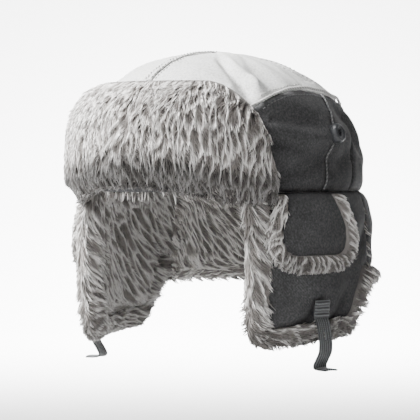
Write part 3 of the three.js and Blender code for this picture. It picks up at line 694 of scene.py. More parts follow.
PIPING_RADIUS = 0.0011
piping_angles = np.linspace(54, 306, 260)
piping_wave = 0.0003 * np.sin(np.radians(piping_angles) * 23)
piping_path = crown_point(piping_angles, seam_turn(piping_angles), -PIPING_RADIUS - 0.0004 + piping_wave)
piping = make_tube("piping_on_top_seam", piping_path, PIPING_RADIUS, light_thread)
stands_for(piping, "light_piping", "crown_piping")

SIDE_PIPING_RADIUS = 0.0006
button_turn = float(turn_at(0.043 / CROWN_HEIGHT))
side_seam_top = float(seam_turn(104))
button_share = (button_turn - waist_turn) / (side_seam_top - waist_turn)
button_room = 0.0081 / float(height_at(side_seam_top))
for side, name in SIDES:
    parts = ("lower", 0.004, button_share - button_room), ("upper", button_share + button_room, 0.97)
    for part, low, high in parts:
        v = low + (high - low) * np.linspace(0, 1, 60) ** 1.5
        angle = side * side_seam(v)
        turn = waist_turn + (seam_turn(angle) - waist_turn) * v
        path = crown_point(angle, turn, cloth_sink(angle, turn) + 0.0003 - SIDE_PIPING_RADIUS)
        piping = make_tube(f"piping_on_side_seam_{part}_{name}", path, SIDE_PIPING_RADIUS, dark_thread, 8)
        stands_for(piping, "dark_cloth", f"side_piping_{part}_{name}")

# %% [markdown]
# A stitch is about 3 mm of thread that dives into the cloth at both ends. Its tube has six sides
# and five rings, so a few hundred stitches stay light.

# %% A row of stitches along a line
STITCH_LENGTH = 0.0026
STITCH_STEP = 0.0038
STITCH_RADIUS = 0.00042
STITCH_RISE = 0.0004
STITCH_SEAT = 0.00012


def make_stitches(name, path, material):
    """The same bent tube at every step along a line, bulging out between its two buried ends."""
    travelled = travelled_on(path)
    middles = np.arange(STITCH_STEP, travelled[-1] - STITCH_STEP, STITCH_STEP)
    count = len(middles)
    spots = read_path(middles, travelled, path)
    outs = unit(read_path(middles, travelled, dome_outward(path)))
    along, across, up = path_axes(spots, outs)
    reach = np.linspace(-0.5, 0.5, 5) * STITCH_LENGTH
    lift = STITCH_RISE * (1 - (np.linspace(-1, 1, 5)) ** 2) - STITCH_SEAT
    thick = STITCH_RADIUS * np.array([0.25, 0.9, 1, 0.9, 0.25])
    turn = np.linspace(0, 2 * math.pi, 6, endpoint=False)
    centre = spots[:, None] + reach[None, :, None] * along[:, None] + lift[None, :, None] * up[:, None]
    points = centre[:, :, None] + thick[None, :, None, None] * circles(turn, across, up)[:, None]
    flat = points.reshape(-1, 3)
    # a stitch has five rings of six points, joined by 24 squares and closed by two at each end
    one = grid_faces(6, 5, loop=True)
    one = (one % 5) * 6 + one // 5
    if signed_volume(flat[:30], one) < 0:
        one = one[:, ::-1]
    caps = np.array([[0, 1, 2, 3], [0, 3, 4, 5], [24, 27, 26, 25], [24, 29, 28, 27]])
    shift = 30 * np.arange(count)[:, None, None]
    faces = np.vstack([(one + shift).reshape(-1, 4), (caps + shift).reshape(-1, 4)])
    row = make_mesh(name, flat, faces, material)
    lay_uv(row.data, np.tile(spread(reach[:, None], turn * STITCH_RADIUS).reshape(-1, 2), (count, 1)))
    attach(row, "root")


TAPE_WIDTH = 0.005
TAPE_LENGTH = 0.16
tape_front = float(turn_at(0.0822 / CROWN_HEIGHT))
tape_rear = float(seam_turn(180)) + 0.0025 / (CROWN_HEIGHT * math.pi / 2)
travel = np.linspace(tape_front, 2 - tape_rear, 150)
tape_angle = np.where(travel < 1, 0.0, 180.0)
tape_turn = np.where(travel < 1, travel, 2 - travel)
edge = np.linspace(-0.5, 0.5, 9)
crown_of_tape = 0.0008 * (1 - (2 * np.abs(edge)) ** 6)
tape_lift = 0.0004 + 0.00025 * np.sin(travel * 60)


def tape_surface(lift):
    """The tape's grid: the dome's middle line, lifted, and spread sideways to the tape's width."""
    line = np.stack([crown_point(tape_angle, tape_turn, -tape_lift - rise) for rise in lift], axis=1)
    line[..., 0] = edge[None, :] * TAPE_WIDTH
    return line


tape_uv = spread(travel[:, None] * TAPE_LENGTH, (edge * TAPE_WIDTH)[None, :])
tape = make_shell(
    "centre_seam_tape", tape_surface(crown_of_tape), tape_surface(edge * 0), tape_uv, light_twill,
)
stands_for(tape, "light_cloth", "crown_seam_tape")
for side, name in SIDES:
    for offset, lift, place in ((0.0016, 0.0011, "inner"), (0.0046, 0.0, "outer")):
        row = crown_point(tape_angle, tape_turn, -lift)
        row[:, 0] = side * offset
        make_stitches(f"centre_seam_stitches_{place}_{name}", row, light_thread)
angles = np.linspace(58, 302, 400)
turns = seam_turn(angles)
for offset, place, thread, slot in (
    (0.0312, "upper", light_thread, "light_piping"), (-0.039, "lower", dark_thread, "dark_cloth"),
):
    row = crown_point(angles, turns + offset, cloth_sink(angles, turns + offset) + 0.0002)
    make_stitches(f"top_seam_stitches_{place}", row, thread)
down = np.linspace(0, 1, 90)
for side, name in SIDES:
    for offset, place in ((-1.1, "front"), (1.1, "rear")):
        angles, turns = side * (100 + 11 * down + offset), 0.78 - 0.33 * down
        row = crown_point(angles, turns, cloth_sink(angles, turns))
        make_stitches(f"cross_seam_stitches_{place}_{name}", row, light_thread)

# %% [markdown]
# Below the waist the cloth hangs as two ear flaps and a neck flap. They share one formula too: the
# waist's oval, swelling a few millimetres on the way down, cut off at a hem that is long over the
# ears and climbs in a soft step to the neck. The cloth stops short of the hem, because the fur
# lining is turned over its edge to the outside.

# %% Shape of the flaps
EAR_LENGTH = 0.115
NECK_LENGTH = 0.072
EAR_FRONT = 47
EAR_BACK = 112
HEM_STEP = 17
HEM_SLOPE = 0.007
HEM_CORNER = 0.019
TRIM_WIDTH = 0.013
CLOTH = 0.002
METRES_PER_DEGREE = math.radians(MEAN_RADIUS)


def flap_point(angle, z, out):
    """The waist's oval plus a swell that grows and fades on the way down, less the waist's crease."""
    swell = 0.005 * np.sin(math.pi * np.clip(-z / EAR_LENGTH, 0, 1) ** 0.8)
    reach = swell - waist_tuck(z) + out
    return oval(angle, HALF_WIDTH + reach, HALF_DEPTH + reach, z)


def rounded_corner(inward, radius, flatness=0.98):
    """How far a hem rises near an upright edge: a quarter circle of the corner's radius."""
    missing = radius - np.clip(inward, 0, radius)
    return radius - np.sqrt(radius**2 - missing**2 * flatness)


def straight_hem(angle):
    """The hem as if the front corner were square."""
    turned = turned_angle(angle)
    step_start = EAR_BACK - HEM_STEP
    ear = EAR_LENGTH - HEM_SLOPE * (turned - EAR_FRONT) / (step_start - EAR_FRONT)
    return -ear - (NECK_LENGTH - ear) * smoothstep(turned, step_start, EAR_BACK)


def front_distance(angle):
    return (turned_angle(angle) - EAR_FRONT) * METRES_PER_DEGREE


def hem_at(angle):
    return straight_hem(angle) + rounded_corner(front_distance(angle), HEM_CORNER)


def cloth_hem(angle):
    """The cloth's own lower edge: the hem moved in by the fur trim, with a tighter corner."""
    inward = front_distance(angle) - TRIM_WIDTH
    return straight_hem(angle) + trim_at(angle) + rounded_corner(inward, HEM_CORNER - TRIM_WIDTH)


def trim_at(angle):
    """Height of the fur edge, whose width is square to the hem and so grows where the hem climbs."""
    slope = (straight_hem(angle + 1) - straight_hem(angle - 1)) / (2 * METRES_PER_DEGREE)
    return TRIM_WIDTH * np.minimum(np.hypot(1, slope), 2)


def corner_distance(inward, above, radius):
    """Distance to the outline of a flap from its distances to the upright edge and the straight hem."""
    near = np.hypot(radius - inward, radius - above)
    return np.where((inward < radius) & (above < radius), radius - near, np.minimum(inward, above))


FLAP_FOLDS = [
    # side, start angle, start height, end angle, end height, width, depth, all lengths in metres
    (1, 66, -0.104, 84, -0.078, 0.0050, 0.0020),
    (1, 84, -0.100, 96, -0.070, 0.0060, 0.0022),
    (1, 92, -0.060, 110, -0.030, 0.0080, 0.0020),
    (1, 60, -0.060, 74, -0.084, 0.0080, 0.0012),
    (1, 124, -0.044, 150, -0.020, 0.0080, 0.0018),
    (1, 140, -0.050, 172, -0.036, 0.0070, 0.0016),
    (-1, 62, -0.096, 82, -0.082, 0.0060, 0.0020),
    (-1, 84, -0.092, 97, -0.062, 0.0060, 0.0018),
    (-1, 118, -0.030, 138, -0.050, 0.0080, 0.0018),
    (-1, 146, -0.022, 176, -0.040, 0.0080, 0.0018),
]


def make_flap_cloth(name, angles, place, hem, top, rows, depth_scale=1.0):
    """Cloth of a flap over a grid of angles and shares of the way down to the fur edge."""
    u, v = np.meshgrid(np.linspace(0, 1, len(angles)), np.linspace(0, 1, rows), indexing="ij")
    angle = np.broadcast_to(np.asarray(angles)[:, None], u.shape)
    low = hem(angle) + 2 * SEAM_GAP - top
    z = -SEAM_GAP / 2 - top + (low + SEAM_GAP / 2 + top) * v
    dents = unevenness(place(angle, z, 0.0), DENT_DEPTH, 9)
    width = np.radians(np.ptp(angles)) * MEAN_RADIUS
    rounding = seam_rounding(u, v, width, float(-low.mean()))
    sink = fold_depth(FLAP_FOLDS, angle, z, 1.0) * depth_scale + dents + rounding
    uv = spread(np.radians(angle) * MEAN_RADIUS, z)
    shell = make_shell(
        f"{name}_panel", place(angle, z, -sink), place(angle, z, -sink - CLOTH * 0.8), uv, dark_twill,
    )
    stands_for(shell, "dark_cloth", name)


# %% [markdown]
# Each ear flap's cloth starts behind the fur edge in front and ends at the seam to the neck flap,
# whose cloth runs round the back from one such seam to the other.

# %% Hang the cloth of the ear and neck flaps
TRIM_ANGLE = TRIM_WIDTH / METRES_PER_DEGREE
cloth_start = EAR_FRONT + TRIM_ANGLE
for side, name in SIDES:
    ear_angles = side * np.linspace(cloth_start + GAP_ANGLE, EAR_BACK - GAP_ANGLE / 2, 50)
    make_flap_cloth(f"ear_flap_cloth_{name}", ear_angles, flap_point, cloth_hem, 0.0, 60)
neck_angles = np.linspace(EAR_BACK + GAP_ANGLE / 2, 360 - EAR_BACK - GAP_ANGLE / 2, 90)
make_flap_cloth("neck_flap_cloth", neck_angles, flap_point, cloth_hem, 0.0, 30)

# %% [markdown]
# Over each ear flap hangs a small padded cover, sewn in at the waist, with its own fur edge. It uses
# the same flap formula, set out from the ear flap by its pile, and it narrows towards the seam.

# %% Hang the cloth of the ear covers
COVER_HALF_ANGLE = 19.5
COVER_CENTRE = 73.5
COVER_LENGTH = 0.057
COVER_PILE = 0.0030
COVER_TRIM = 0.010
COVER_CORNER = 0.024
COVER_TOP = 0.0012
cover_radius = math.hypot(
    HALF_WIDTH * math.cos(math.radians(COVER_CENTRE)), HALF_DEPTH * math.sin(math.radians(COVER_CENTRE)),
)
COVER_METRES_PER_DEGREE = math.radians(cover_radius)
COVER_TRIM_ANGLE = COVER_TRIM / COVER_METRES_PER_DEGREE


def cover_swell(z):
    return 0.35 + 0.65 * smoothstep(-z, 0, COVER_LENGTH / 4)


def cover_point(angle, z, out):
    """The flap's surface, set out by the cover's pile, with its angles drawn in towards the waist."""
    lift = CLOTH + 0.0009 + COVER_PILE * cover_swell(z)
    lift = lift + 0.001 * np.clip(-z / COVER_LENGTH, 0, 1)
    middle = np.sign(angle) * COVER_CENTRE
    narrow = 1 - 0.2 * (1 - smoothstep(-z, 0.006, COVER_LENGTH / 2))
    return flap_point(middle + (angle - middle) * narrow, z, out + lift)


def cover_distance(angle):
    return (COVER_HALF_ANGLE - np.abs(np.abs(angle) - COVER_CENTRE)) * COVER_METRES_PER_DEGREE


def cover_hem(angle):
    return -COVER_LENGTH + rounded_corner(cover_distance(angle), COVER_CORNER)


def cover_cloth_hem(angle):
    inward = cover_distance(angle) - COVER_TRIM
    return -COVER_LENGTH + COVER_TRIM + rounded_corner(inward, COVER_CORNER - COVER_TRIM)


for side, name in SIDES:
    half = COVER_HALF_ANGLE - COVER_TRIM_ANGLE - GAP_ANGLE
    cover_angles = side * np.linspace(COVER_CENTRE - half, COVER_CENTRE + half, 34)
    make_flap_cloth(
        f"ear_cover_cloth_{name}", cover_angles, cover_point, cover_cloth_hem, COVER_TOP, 34, depth_scale=0.0,
    )

# %% [markdown]
# The front flap is turned up against the crown, so its cloth faces the crown and its fur faces out.
# The cloth behind it shows only as a dark line at the edge.

# %% Turn up the front flap's cloth
FRONT_HALF_ANGLE = 57
FRONT_HEIGHT = 0.084
FRONT_CLOTH_OUT = 0.0013 + CLOTH
FRONT_FUR_OUT = FRONT_CLOTH_OUT + 3 * SEAM_GAP
FRONT_PILE = 0.013
FRONT_ROOT = 0.0005


def beside_crown(angle, z, out):
    """A point level with the dome at a height, set out from it."""
    share = crown_share(z)
    return oval(angle, HALF_WIDTH * share + out, HALF_DEPTH * share + out, z, crown_lean(z))


def front_top(share):
    inward = (1 - np.abs(share)) * FRONT_HALF_ANGLE * METRES_PER_DEGREE
    return FRONT_HEIGHT - rounded_corner(inward, 0.046, 0.985)


def front_low(share):
    return 0.014 * np.cos(math.pi / 2 * share) ** 2 - 0.007


share, rise = np.meshgrid(np.linspace(-1, 1, 70), np.linspace(0, 1, 18), indexing="ij")
front_z = FRONT_ROOT + (front_top(share) - 2 * CLOTH - FRONT_ROOT) * rise
front_angle = share * FRONT_HALF_ANGLE
front_uv = spread(np.radians(front_angle) * MEAN_RADIUS, front_z)
front_cloth = make_shell(
    "front_flap_back_cloth", beside_crown(front_angle, front_z, FRONT_CLOTH_OUT),
    beside_crown(front_angle, front_z, FRONT_CLOTH_OUT - CLOTH), front_uv, dark_twill,
)
stands_for(front_cloth, "dark_cloth", "front_flap_cloth")

# %% [markdown]
# Fur could be Blender's hair, but hair doesn't leave the program with the model, so each hair here
# is a real sliver of mesh: a three-sided spike with two bends, sixteen triangles in all. What makes
# it look like plush is the order in it. All hairs lean with the nap. Seen from outside they part into
# long narrow cells, like flames, and crowd together along the borders between them, so light draws a
# net of thin bright ridges over the darker hollows, and the hairs' colour adds a painted highlight
# along the ridges. The net is a pattern of nearest centres: centres are scattered over the skin,
# distances along the nap count for less than those across it, and a ridge runs wherever two centres
# are equally near.
#
# Every fur piece starts with its knitted back, a smooth closed skin just under the hair's surface.
# Roots are spread over the skin by area, and all hairs grow from them in one go as arrays.

# %% Grow hair on a skin
HAIR_RINGS = np.array([0.0, 0.4, 0.75])
CELL_STRETCH = 0.2


def spread_roots(points, triangles, count, rng):
    """Random places on triangles, chosen by area, with the surface's smooth direction there."""
    a, b, c = (points[triangles[:, k]] for k in range(3))
    facing = np.cross(b - a, c - a)
    area = np.linalg.norm(facing, axis=1) / 2
    smooth = np.zeros_like(points)
    for k in range(3):
        np.add.at(smooth, triangles[:, k], facing)
    smooth = unit(smooth)
    pick = rng.choice(len(triangles), count, p=area / area.sum())
    s, t = np.sqrt(rng.random(count)), rng.random(count)
    weights = np.stack([1 - s, s * (1 - t), s * t], axis=1)
    corners = triangles[pick]
    roots = np.einsum("ij,ijk->ik", weights, points[corners])
    normals = unit(np.einsum("ij,ijk->ik", weights, smooth[corners]))
    return roots, normals, area.sum()


def ridge_net(places, nap, centres):
    """Distance to the nearest ridge, and the direction across it, for each place.

    With lengths along the nap shrunk by CELL_STRETCH, a ridge is where the distances D1 and D2 to the
    two nearest centres are equal, so a place lies (D2^2 - D1^2) / (2 |c2 - c1|) away from it.
    """
    shrink = 1 - CELL_STRETCH**2
    away = np.empty(len(places))
    across = np.empty_like(places)
    for start in range(0, len(places), 1500):
        part = slice(start, start + 1500)
        gap = places[part, None] - centres[None]
        along = np.einsum("ijk,ik->ij", gap, nap[part])
        distance = (gap**2).sum(-1) - shrink * along**2
        first, second = np.argpartition(distance, 1, axis=1)[:, :2].T
        row = np.arange(len(first))
        step = centres[second] - centres[first]
        step = step - shrink * (step * nap[part]).sum(1, keepdims=True) * nap[part]
        length = np.maximum(np.linalg.norm(step, axis=1), 1e-6)
        away[part] = (distance[row, second] - distance[row, first]) / (2 * length)
        across[part] = step / length[:, None]
    return np.abs(away), across * np.sign(away)[:, None]


def slow_waves(places, size, rng):
    """A smooth random sideways value at each place, from six waves of about one size."""
    total = np.zeros(len(places))
    for _ in range(6):
        wave = unit(rng.normal(size=3)) * rng.uniform(0.7, 1.4) * 2 * math.pi / size
        total += np.sin(places @ wave + rng.uniform(0, 6.28))
    return total / 2.4


def grow_hair(roots, normals, nap, length, lift, width, shade, ridge_width, centres, rng):
    """Points, triangles and tones of all hairs.

    A hair leaves its root along the nap, which wanders slowly, and rises and falls with a parabola.
    Towards its tip it is drawn to the nearest ridge, where it also lies higher and is coloured lighter, a
    painted highlight. Its own tone is random, times the painted shade it is given.
    """
    count = len(roots)
    nap = unit(nap - (nap * normals).sum(1, keepdims=True) * normals)
    beside = np.cross(normals, nap)
    turn = 0.30 * slow_waves(roots, 0.034, rng) + 0.08 * rng.normal(size=count)
    way = np.cos(turn)[:, None] * nap + np.sin(turn)[:, None] * beside
    reach = length * (0.75 + 0.4 * rng.random(count))
    height = lift * (0.5 + 0.8 * rng.random(count))
    phase = rng.random(count) * 6.28
    stations, ridges = [], []
    for t, pull in zip([*HAIR_RINGS, 1.0], (0.0, 0.25, 0.5, 0.75)):
        bow = height * (1 - (1 - t) ** 2) * (1 - 0.35 * t**3)
        sway = 0.0005 * np.sin(5 * t + phase) * t
        point = roots + way * (reach * t)[:, None] + normals * bow[:, None] + beside * sway[:, None]
        wander = 0.0016 * slow_waves(point, 0.021, np.random.default_rng(5))
        away, across = ridge_net(point + beside * wander[:, None], nap, centres)
        ridge = np.exp(-((away * (1 - pull) / ridge_width) ** 2))
        drawn = np.minimum(away, 0.003) * pull
        stations.append(point + across * drawn[:, None] + normals * (0.0011 * ridge * t)[:, None])
        ridges.append(ridge)
    stations, ridges = np.stack(stations, axis=1), np.stack(ridges, axis=1)
    around = np.arange(3) * 2 * math.pi / 3 + math.pi / 2
    girth = width * np.array([0.8, 1.0, 0.75]) / 2 * (0.7 + 0.6 * rng.random(count))[:, None]
    rings = stations[:, :3, None] + girth[:, :, None, None] * circles(around, beside, normals)[:, None]
    points = np.concatenate([rings.reshape(count, 9, 3), stations[:, 3:]], axis=1)
    pattern = [[2, 1, 0]]
    for ring in (0, 3):
        for k in range(3):
            n = (k + 1) % 3
            pattern += [[ring + k, ring + n, ring + 3 + n], [ring + k, ring + 3 + n, ring + 3 + k]]
    pattern = np.array(pattern + [[6 + k, 6 + (k + 1) % 3, 9] for k in range(3)])
    triangles = (pattern[None] + 10 * np.arange(count)[:, None, None]).reshape(-1, 3)
    a, b, c = (points[:, pattern[:, k]] for k in range(3))
    if np.einsum("hij,hij->", a - roots[:, None], np.cross(b - roots[:, None], c - roots[:, None])) < 0:
        triangles = triangles[:, ::-1]
    along = np.repeat([*HAIR_RINGS, 1.0], [3, 3, 3, 1])[None, :]
    # Nearness to a ridge, which the material colours as a painted highlight.
    painted_ridge_light = np.repeat(ridges, [3, 3, 3, 1], axis=1)
    # A random tone of the hair's own, times the painted shade given to it.
    own = (shade * (0.75 + 0.25 * rng.random(count)))[:, None]
    tones = spread(along, painted_ridge_light, own, 1.0)
    return points.reshape(-1, 3), triangles, tones.reshape(-1, 4)


# No painted shade: every hair keeps its full tone.
def no_painted_shade(roots):
    return np.ones(len(roots))


def make_fur(
    name, node, skin, nap_at, length_at, hairs, seed,
    lift=0.0014, width=0.0010, cell=0.0042, ridge_width=0.0008, painted_shade_at=no_painted_shade,
):
    """A fur piece in one mesh: its skin, and hair on every square of the skin that isn't bald.

    nap_at gives the hairs' direction from their roots, length_at their length, and the shade function
    a painted shade: how much darker they are coloured where they lie in shade, in folds and under edges.
    """
    rng = np.random.default_rng(seed)
    points, squares, bald = skin
    split = np.stack([squares[:, [0, 1, 2]], squares[:, [0, 2, 3]]], axis=1)
    hairy = split[~bald].reshape(-1, 3)
    count = hairs
    roots, normals, area = spread_roots(points, hairy, count, rng)
    cells = int(area / (cell**2 / CELL_STRETCH))
    centres = spread_roots(points, hairy, cells, rng)[0]
    grown, triangles, tones = grow_hair(
        roots, normals, nap_at(roots, normals), length_at(roots), lift,
        width * (1), painted_shade_at(roots), ridge_width, centres, rng,
    )
    faces = np.vstack([split.reshape(-1, 3), triangles + len(points)])
    thing = make_mesh(name, np.vstack([points, grown]), faces, plush)
    skin_tones = np.tile([0.3, 0.1, 0.7, 1.0], (len(points), 1))
    attribute = thing.data.color_attributes.new("pile", "FLOAT_COLOR", "POINT")
    attribute.data.foreach_set("color", np.vstack([skin_tones, tones]).astype(np.float32).ravel())
    stands_for(thing, "fur", node)
    print(f"  {count} hairs and {cells} cells on {area * 1e4:.0f} square cm")
# The front flap's fur is the first thing one sees. Its skin is a closed roll: a table gives, from the
# bottom edge round to the top one, how high each point of the roll lies and how far it stands out.

# %% Grow the front flap's fur
FRONT_SECTION = np.array([
    # share of the height in front, share of the pile, share of the height behind
    (0, 0.1, 0), (0.01, 0.24, 0.03), (0.05, 0.44, 0.08), (0.12, 0.7, 0.16), (0.19, 0.95, 0.24),
    (0.25, 1.06, 0.3), (0.4, 1.0, 0.4), (0.56, 0.94, 0.56), (0.71, 0.92, 0.71), (0.84, 0.86, 0.84),
    (0.95, 0.66, 0.94), (1, 0.3, 1),
])
SKIN_SHARE = 0.74


def skin_of(outer, inner, hairy_outer, hairy_inner, hairy_rim):
    """Points and faces of a closed skin, and which faces stay bald."""
    points, faces = enclose(outer, inner)
    hairy_point = np.concatenate([hairy_outer.ravel(), hairy_inner.ravel()])
    bald = ~hairy_point[faces].all(axis=1)
    border = 2 * (outer.shape[0] - 1) * (outer.shape[1] - 1)
    bald[border:] = ~hairy_rim(points[faces[border:]].mean(axis=1))
    return points, faces, bald


station = np.linspace(0, 1, 34)
steps = np.linspace(0, 1, len(FRONT_SECTION))
rise, bulk, back = (np.interp(station, steps, FRONT_SECTION[:, k]) for k in range(3))
share = np.broadcast_to(np.linspace(-1, 1, 84)[:, None], (84, 34))
end_bulk = 1 - 0.55 * smoothstep(np.abs(share), 0.86, 1)
low, top = front_low(share), front_top(share)
root = np.maximum(FRONT_ROOT, low + 0.001)
roll = beside_crown(
    share * FRONT_HALF_ANGLE, low + (top - 0.002 - low) * rise,
    FRONT_FUR_OUT + FRONT_PILE * SKIN_SHARE * bulk * end_bulk,
)
behind = beside_crown(
    share * FRONT_HALF_ANGLE, root + (top - 0.004 - root) * back, FRONT_FUR_OUT + 0 * share,
)
everywhere = np.ones(share.shape, bool)
front_skin = skin_of(roll, behind, everywhere, ~everywhere, lambda rim: rim[:, 2] < 0.012)


def angle_of(points):
    """The angle from the front of a place on the oval, in degrees."""
    return np.degrees(np.arctan2(points[:, 0] / HALF_WIDTH, -points[:, 1] / HALF_DEPTH))


def front_nap(roots, normals):
    """Forwards over the top edge, then down the roll, spreading a little to both ends."""
    out = unit(roots * np.array([1, 1, 0]))
    over_top = smoothstep(normals[:, 2], 0.2, 0.8)[:, None]
    return np.array([0, 0, -1.0]) + out * (0.2 + 1.5 * over_top) + np.array([1.6, 0, 0]) * roots


def front_length(roots):
    return np.clip(0.005 + roots[:, 2] * 0.4, 0.006, 0.013)


def painted_roll_shade(roots):
    """Painted shade: the pile is coloured darker low on the roll, where it turns under and away from the
    light.
    """
    above = roots[:, 2] - front_low(angle_of(roots) / FRONT_HALF_ANGLE)
    return 0.15 + 0.85 * smoothstep(above, 0.022, 0.034)


make_fur(
    "front_flap_pile", "front_flap_fur", front_skin, front_nap, front_length, 11500, 3,
    cell=0.0040, ridge_width=0.0007, painted_shade_at=painted_roll_shade,
)

# %% [markdown]
# The ear and neck flaps are lined with the same fur. It fills the inside, turns round the free edges
# and ends outside as a raised trim beside the cloth, so its skin is one closed shape: a thick pad
# inside, an edge, and a low ridge outside. A flap's skin needs to know only how far each point lies
# from the nearest free edge, in widths of the trim.

# %% Grow the flaps' fur
TRIM_PROFILE = np.array([
    # distance from the free edge in trim widths, share of the trim's rise
    (0, -0.6), (0.1, 0.1), (0.2, 0.7), (0.55, 1.2), (0.9, 0.8), (1.02, 0.1),
])
TRIM_RISE = 0.0022
COVER_TRIM_RISE = 0.0012
EAR_PILE = 0.010
NECK_PILE = 0.0085
FLAP_BACK = -0.0052
COVER_BACK = -0.0026
WAIST_RIM = -0.004
trim_share = np.array([0.0, 0.1, 0.2, 0.38, 0.55, 0.72, 0.9, 1.02, 1.08])


def flap_skin(
    place, angles, distance, hem, trim, trim_rise, top, floor, pile, crease, hairy_inside, sewn_from=360,
):
    """A flap's fur pad with its ridge outside, over a list of angles from one edge to the other.

    distance(angle, z) is how far a place lies from the nearest free edge. Where the pad inside meets
    the rolled edge, it sinks by a share called crease. The rim stays bald at the waist, and from the
    angle where it is sewn to the next flap.
    """
    v = np.linspace(0, 1, 26)[:-1]
    angle = np.asarray(angles)[:, None]
    low, width = hem(angle), trim(angle)
    start = -SEAM_GAP / 2 - top
    body = start + (low + 1.08 * width - start) * v[None, :]
    z = np.concatenate([body, low + width * trim_share[None, ::-1]], axis=1)
    angle = np.broadcast_to(angle, z.shape)
    share = distance(angle, z) / width
    rise = np.interp(share, TRIM_PROFILE[:, 0], TRIM_PROFILE[:, 1]) * trim_rise
    rise = np.where(share > 1.05, floor, rise)
    round_edge = np.sqrt(np.clip(1 - (1 - np.clip(share, 0, 1)) ** 2, 0, 1))
    full = pile(z) * SKIN_SHARE * (1 - crease * np.exp(-(((share - 1.35) / 0.22) ** 2)))
    inside = (floor - 0.0004 - full) * round_edge - 0.0030 * (1 - round_edge)
    return skin_of(
        place(angle, z, rise), place(angle, z, inside), share < 1.03, hairy_inside(share),
        lambda rim: (rim[:, 2] < WAIST_RIM) & (np.abs(angle_of(rim)) < sewn_from),
    )


def above_hem(roots):
    return roots[:, 2] - hem_at(angle_of(roots))


def flap_nap(roots, normals):
    """Down and rearwards, turning level above the hem, and round the edge towards the cloth."""
    level = 1 - smoothstep(above_hem(roots), 0.010, 0.040)
    return spread(0.0, 1.0 + 0.6 * level, -1 + 0.62 * level)


def painted_flap_shade(roots):
    """Painted shade: the pile is coloured darker inside the flap, and darker along the lower edge, where
    shade falls.
    """
    outward = np.hypot(roots[:, 0] / HALF_WIDTH, roots[:, 1] / HALF_DEPTH)
    painted_lower_edge_shade = 0.45 + 0.55 * smoothstep(above_hem(roots), 0.002, 0.016)
    return np.where(outward < 0.965, 0.58, painted_lower_edge_shade)


def ear_distance(angle, z):
    return corner_distance(front_distance(angle), z - straight_hem(angle), HEM_CORNER)


def flap_length(roots):
    return np.clip(0.006 + above_hem(roots) * 0.3, 0.007, 0.012)


for side, name in SIDES:
    front_columns = EAR_FRONT + trim_share * TRIM_ANGLE
    other_columns = np.linspace(front_columns[-1], EAR_BACK - GAP_ANGLE / 2, 30)[1:]
    skin = flap_skin(
        flap_point, side * np.concatenate([front_columns, other_columns]), ear_distance, hem_at, trim_at,
        TRIM_RISE, 0.0, FLAP_BACK, lambda z: EAR_PILE, 0.5, lambda share: share > -1, EAR_BACK - 1,
    )
    make_fur(
        f"ear_flap_pile_{name}", f"ear_flap_fur_{name}", skin, flap_nap, flap_length, 9600, 11 + side,
        cell=0.0046, ridge_width=0.0009, painted_shade_at=painted_flap_shade,
    )


def neck_nap(roots, normals):
    """Slantwise down, as the lining was combed."""
    level = 1 - smoothstep(above_hem(roots), 0.008, 0.030)
    return spread(1.2 + 0.3 * level, 0.0, -1 + 0.5 * level)


neck_columns = np.linspace(EAR_BACK + GAP_ANGLE / 2, 360 - EAR_BACK - GAP_ANGLE / 2, 74)
skin = flap_skin(
    flap_point, neck_columns, lambda angle, z: z - straight_hem(angle), hem_at, trim_at,
    TRIM_RISE, 0.0, FLAP_BACK, lambda z: NECK_PILE, 0.0, lambda share: share > -1,
)
make_fur(
    "neck_flap_pile", "neck_flap_fur", skin, neck_nap, flap_length, 7300, 21,
    cell=0.0046, ridge_width=0.0009,
)


def cover_nap(roots, normals):
    """Outwards from the cover's middle, and down."""
    away = (np.abs(angle_of(roots)) - COVER_CENTRE) / COVER_HALF_ANGLE
    return spread(0.0, 0.9 * away + 0.15, -0.75)


def cover_edge_distance(angle, z):
    return corner_distance(cover_distance(angle), z + COVER_LENGTH, COVER_CORNER)


def cover_length(roots):
    return np.clip(0.005 + 0.1 * (roots[:, 2] + COVER_LENGTH), 0.005, 0.0075)


def painted_cover_shade(roots):
    """Painted shade along the cover's lower edge: the pile there is coloured darker, where it faces down out
    of the light.
    """
    return 0.4 + 0.6 * smoothstep(roots[:, 2] + COVER_LENGTH, 0.002, 0.020)


cover_front, cover_back = COVER_CENTRE - COVER_HALF_ANGLE, COVER_CENTRE + COVER_HALF_ANGLE
edge = trim_share * COVER_TRIM_ANGLE
middle = np.linspace(cover_front + edge[-1], cover_back - edge[-1], 14)[1:-1]
cover_columns = np.concatenate([cover_front + edge, middle, cover_back - edge[::-1]])
for side, name in SIDES:
    skin = flap_skin(
        cover_point, side * cover_columns, cover_edge_distance, cover_hem, lambda angle: COVER_TRIM,
        COVER_TRIM_RISE, COVER_TOP, COVER_BACK, lambda z: COVER_PILE * 0.7 * cover_swell(z), 0.0,
        lambda share: share < 0.4,
    )
    make_fur(
        f"ear_cover_pile_{name}", f"ear_cover_fur_{name}", skin, cover_nap, cover_length, 3500, 31 + side,
        lift=0.0008, cell=0.0030, ridge_width=0.0006, painted_shade_at=painted_cover_shade,
    )

# %% [markdown]
# Inside, a band of the fur lines the crown's lower edge. The rest of the crown is bare cloth. The band
# runs all the way round, so its grid's last column joins its first.

